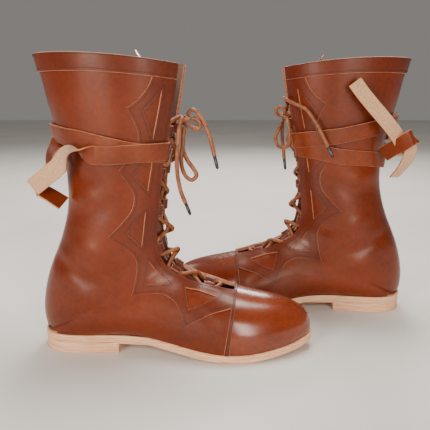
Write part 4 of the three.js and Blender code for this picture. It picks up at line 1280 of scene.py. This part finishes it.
# ---- Strap ----
# Station of the strap's middle at each share of a turn: 0 back, 0.5 front, 1 back again.
STRAP_TURNS = {
    "right": [
        [(0, 24.8), (0.19, 24.57), (0.28, 24.34), (0.35, 24.15), (0.45, 24.05), (0.55, 24.05), (1, 24.2)],
        [(0.2, 23.95), (0.28, 24.0), (0.35, 24.11), (0.45, 24.18), (0.55, 24.1), (1, 23.6)],
    ],
    "left": [
        [(0, 24.95), (0.13, 24.74), (0.275, 24.36), (0.44, 24.12), (0.55, 24.1), (1, 24.3)],
        [(0, 22.9), (0.27, 23.24), (0.36, 23.5), (0.45, 23.66), (0.55, 23.7), (1, 23.4)],
    ],
}
FRONT_SHARE = 0.09  # share of a half turn between the facings
TUCK_INSET, TUCK_DEPTH, TUCK_SHARE = 7.6, 6.3, 0.4  # its dip behind the lace
BRIDGE_DEPTH = 8
SECOND_LIFT = STRAP + GAP  # of the turn that lies on the other


def strap_place(rows, share, across, over):
    """Point of a strap turn; past its ends (share < 0 or > 1) it runs on round the back."""
    side = -1.0 if 0 <= share < 0.5 or share > 1 else 1.0
    t = float(table(rows, share)) + across * STRAP_WIDTH / STATION_RISE
    edge = float(edge_v(t))
    to_back = abs(share) / 0.5 if share < 0.5 else abs(1 - share) / 0.5
    lift = 1.5 + 1.9 * float(ramp(to_back, 0.4, 0.62)) + over
    lift += SECOND_LIFT * float(ramp(0.1 - share, 0, 0.06))
    if to_back <= 1 - FRONT_SHARE:
        return layer_point(t, side, edge * to_back / (1 - FRONT_SHARE), lift)
    inward = (to_back - 1 + FRONT_SHARE) / FRONT_SHARE
    corner = layer_point(t, side, edge, lift)
    tuck = chord_point(t, side * (float(half_gap(t)) - TUCK_INSET), lift - TUCK_DEPTH)
    if inward < TUCK_SHARE:
        return corner + (tuck - corner) * inward / TUCK_SHARE
    bridge = chord_point(t, 0, lift - BRIDGE_DEPTH)
    return tuck + (bridge - tuck) * (inward - TUCK_SHARE) / (1 - TUCK_SHARE)


def strap_keys(rows, shares, over):
    """Ribbon keys of a turn: its middle and the vector across it."""
    keys = []
    for share in shares:
        upper, lower = (strap_place(rows, share, a, over) for a in (0.5, -0.5))
        keys.append(((upper + lower) / 2, lower - upper))
    return keys


# Where a turn is worked out; it runs a little past the back seam at both ends.
SHARES = [1.03, 1.01, 0.98, 0.93, 0.87, 0.8, 0.73, 0.66, 0.6, 0.565, 0.545, 0.53, 0.515, 0.5, 0.485,
          0.47, 0.455, 0.435, 0.4, 0.36, 0.32, 0.28, 0.24, 0.19, 0.14, 0.09, 0.05, 0.01, -0.03]


def vectors(rows):
    return [(np.array(row[:3], float), np.array(row[3:], float)) for row in rows]


# Free parts of the strap in each boot's frame: centre x, y, z and the direction across it.
RIGHT_LOOP = vectors([
    (34, -14, 232, 2, -10, -13), (28, -20, 226, 6, -12, -10), (23, -22, 218, 9, -13, -6),
    (21, -23, 208, 10, -13, -2), (22, -22, 199, 9, -13, 2), (26, -20, 191, 7, -12, 6),
])
RIGHT_TAIL = vectors([
    (74, -47.5, 219.5, 2, 3, -17), (65, -50, 222, 1, 12, -10), (57, -51, 224.5, -1, 17, 0),
    (49, -50, 222.5, -6, 14, 9), (42.5, -46, 215.5, -10, 7, 11), (37, -41, 207.5, -11, 1, 11),
    (25, -38, 198, -11, 0, 11), (13, -37, 188.5, -11, 0, 11), (7.5, -35.5, 184, -10, 2, 11),
    (7.5, -32.5, 182, -9, 6, 10), (12, -30, 180.5, -6, 10, 9), (21, -29, 176, -1, 12, 9),
    (29, -29, 171, 1, 12, 9), (36, -29, 166.5, 2, 12, 9),
])
LEFT_WRAP = vectors([
    (37, -33, 204, -9, -1, -13), (30, -42, 211, -10, -1, -12.5), (21, -54, 219, -10, 0, -12),
    (13, -60, 226, -10, 1, -12), (9, -57, 227.5, -9, 6, -11), (9.5, -50, 224, -7, 9, -10),
    (16, -38, 216, -6, 9, -12),
])
LEFT_FREE = vectors([
    (13, -39, 207, 10, 0, -12), (17, -42, 214, 11, 0, -11), (23, -50, 224, 11, 0, -11),
    (32, -59, 235, 11, 0, -10), (43, -64, 247, 11, 0, -9.5), (57, -66, 262, 12, 0, -8.5),
    (70, -65.5, 277, 13, 0, -7.5), (80, -64.5, 290, 12, 0, -7.5),
])
LEFT_TAIL = vectors([
    (9.5, -50, 218, -10, 0, 3), (8.5, -48, 210, -12, 0, 1), (9.5, -42, 200, -12, 2, -2),
    (13, -32, 188, -10, 8, -4), (19, -20, 175, -8, 10, -5),
])


def strap_piece(boot, name, part, nodes):
    piece(boot, name, part, STRAP_SET, nodes)


def add_tail(boot, keys, width, start, end):
    """The strap's free end, as one ribbon through the keys; start and end are not used."""
    obj = piece(boot, "strap_tail", ribbon(keys, width, STRAP), STRAP_SET, ["strap_end"],
                rides=False)
    tuple(boot.row(start))
    tuple(boot.row(end))
    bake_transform(obj)


def add_strap(boot):
    first, second = STRAP_TURNS[boot.name]
    if boot.name == "right":
        part = ribbon(strap_keys(first, SHARES, 0), STRAP_WIDTH, STRAP)
        strap_piece(boot, "strap_turn", part, ["strap"])
        strap_piece(boot, "strap_back_loop", ribbon(RIGHT_LOOP, STRAP_WIDTH, STRAP), ["strap_knot"])
        keys = strap_keys(second, [share for share in SHARES if share > 0.22], SECOND_LIFT)
        add_tail(boot, keys + RIGHT_TAIL, STRAP_WIDTH, (44, -30, 214), (33, -38, 206))
        return
    part = ribbon(strap_keys(first, SHARES, SECOND_LIFT), STRAP_WIDTH, STRAP)
    strap_piece(boot, "strap_turn", part, ["strap"])
    part = ribbon(strap_keys(second, SHARES, 0), STRAP_WIDTH, STRAP)
    strap_piece(boot, "strap_low_turn", part, ())
    solid = Solid().add(*ribbon(LEFT_WRAP, STRAP_WIDTH, STRAP))
    solid.add(*ribbon(LEFT_TAIL, STRAP_WIDTH - 4, STRAP))
    strap_piece(boot, "strap_wrap", solid.part(), ["strap_knot"])
    add_tail(boot, LEFT_FREE, STRAP_WIDTH - 2, (17, -42, 214), (28, -55, 230))


# ---- Sole layers ----
def add_soles(boot):
    level = lambda x: 0.0  # the heel's layers lie flat
    thick = MIDSOLE + GAP
    mid = [(0.5, 0), (0.05, -0.35), (0, -1.6), (0.15, -thick + 0.25), (0.5, -thick)]
    part = plate(SOLE_MARGIN, mid, sole_top)
    piece(boot, "midsole_edge", part, [WELT], ["midsole"])
    out = [(0.5, -thick), (0.1, -thick - 0.3), (0, -thick - 1.5), (0.1, -thick - OUTSOLE + 0.9),
           (0.7, -thick - OUTSOLE), (1.6, -thick - OUTSOLE - 0.2)]
    part = plate(SOLE_MARGIN, out, sole_top)
    piece(boot, "outsole_edge", part, [SOLE], ["outsole"])
    half = (HEEL_HEIGHT - 2 * GAP) / 2
    for name, bottom, material in (("heel_top_piece", 0.0, SOLE), ("heel_lift", half + GAP, WELT)):
        top = bottom + half + GAP
        rows = [(0.5, top), (0.15, top - 0.3), (0.0, top - half / 2), (0.2, bottom + 0.5), (0.8, bottom)]
        part = plate(SOLE_MARGIN - 0.4, rows, level, HEEL_LENGTH)
        piece(boot, name + "_leather", part, [material], [name])
    bed = SHANK + 2 * GAP
    ease = 5.5  # insole inside the quarters
    rows = [(0.4, bed + INSOLE), (0, bed + INSOLE - 0.5), (0, bed + 0.4), (0.3, bed)]
    part = plate(-UPPER - ease, rows, sole_top)
    piece(boot, "insole_board", part, [BOTTOM], ["insole"])


def finish_hidden(boot):
    """Materials for the shank, puff and counter, which keep their CAD shape."""
    for node, material in (("shank", STEEL), ("toe_puff", BOTTOM), ("heel_counter", FLESH_SIDE)):
        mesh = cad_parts[boot.name + "_" + node].data
        mesh.materials.clear()
        mesh.materials.append(material)


for one in BOOTS:
    add_toe(one)
    add_collar(one)
    add_tongue(one)
    add_strap(one)
    add_soles(one)
    add_stitches(one)
    finish_hidden(one)
    for flank, word in ((-1, "lateral"), (1, "medial")):
        add_quarter(one, flank, word)
        add_overlay(one, flank, word)
        add_loops(one, flank, word)


# ---- Floor and light ----
def add_floor():
    bpy.ops.mesh.primitive_plane_add(size=8, location=(0, 0, 0))
    floor = bpy.context.object
    floor.name = "floor"
    made = Nodes("pale_floor", 0.65)
    made.colour(made.ramp(made.noise(3, 3), (0.3, (214, 208, 200)), (0.7, (224, 219, 212))))
    floor.data.materials.append(made.material)


def add_light(name, place, aim, size, power, colour):
    data = bpy.data.lights.new(name, "AREA")
    data.shape, data.size, data.size_y = "RECTANGLE", size[0], size[1]
    data.energy, data.color = power, colour
    light = new_object(name, data)
    light.location = place
    light.rotation_euler = (Vector(aim) - Vector(place)).to_track_quat("-Z", "Y").to_euler()


def add_studio():
    world = bpy.data.worlds.new("studio")
    world.use_nodes = True
    sky = world.node_tree.nodes["Background"].inputs
    sky["Color"].default_value = (0.92, 0.88, 0.83, 1)
    sky["Strength"].default_value = 0.24
    bpy.context.scene.world = world
    warm = (1.0, 0.95, 0.9)
    add_light("key_left", (-0.87, -1.3, 0.6), (-0.12, 0, 0.16), (0.36, 0.9), 19, warm)
    add_light("key_right", (0.46, -1.4, 0.6), (0.12, 0, 0.16), (0.32, 0.9), 14, warm)
    add_light("top", (0.15, 0.25, 1.6), (0, 0, 0.05), (0.9, 0.6), 26, (1.0, 0.98, 0.95))
    add_light("rim", (0.15, 1.5, 1.0), (0.05, 0, 0.08), (0.7, 0.35), 16, (1.0, 0.97, 0.94))
    add_light("back", (-1.2, 0.9, 1.0), (0, 0, 0.15), (0.8, 0.8), 7, (1.0, 0.97, 0.93))


add_floor()
add_studio()
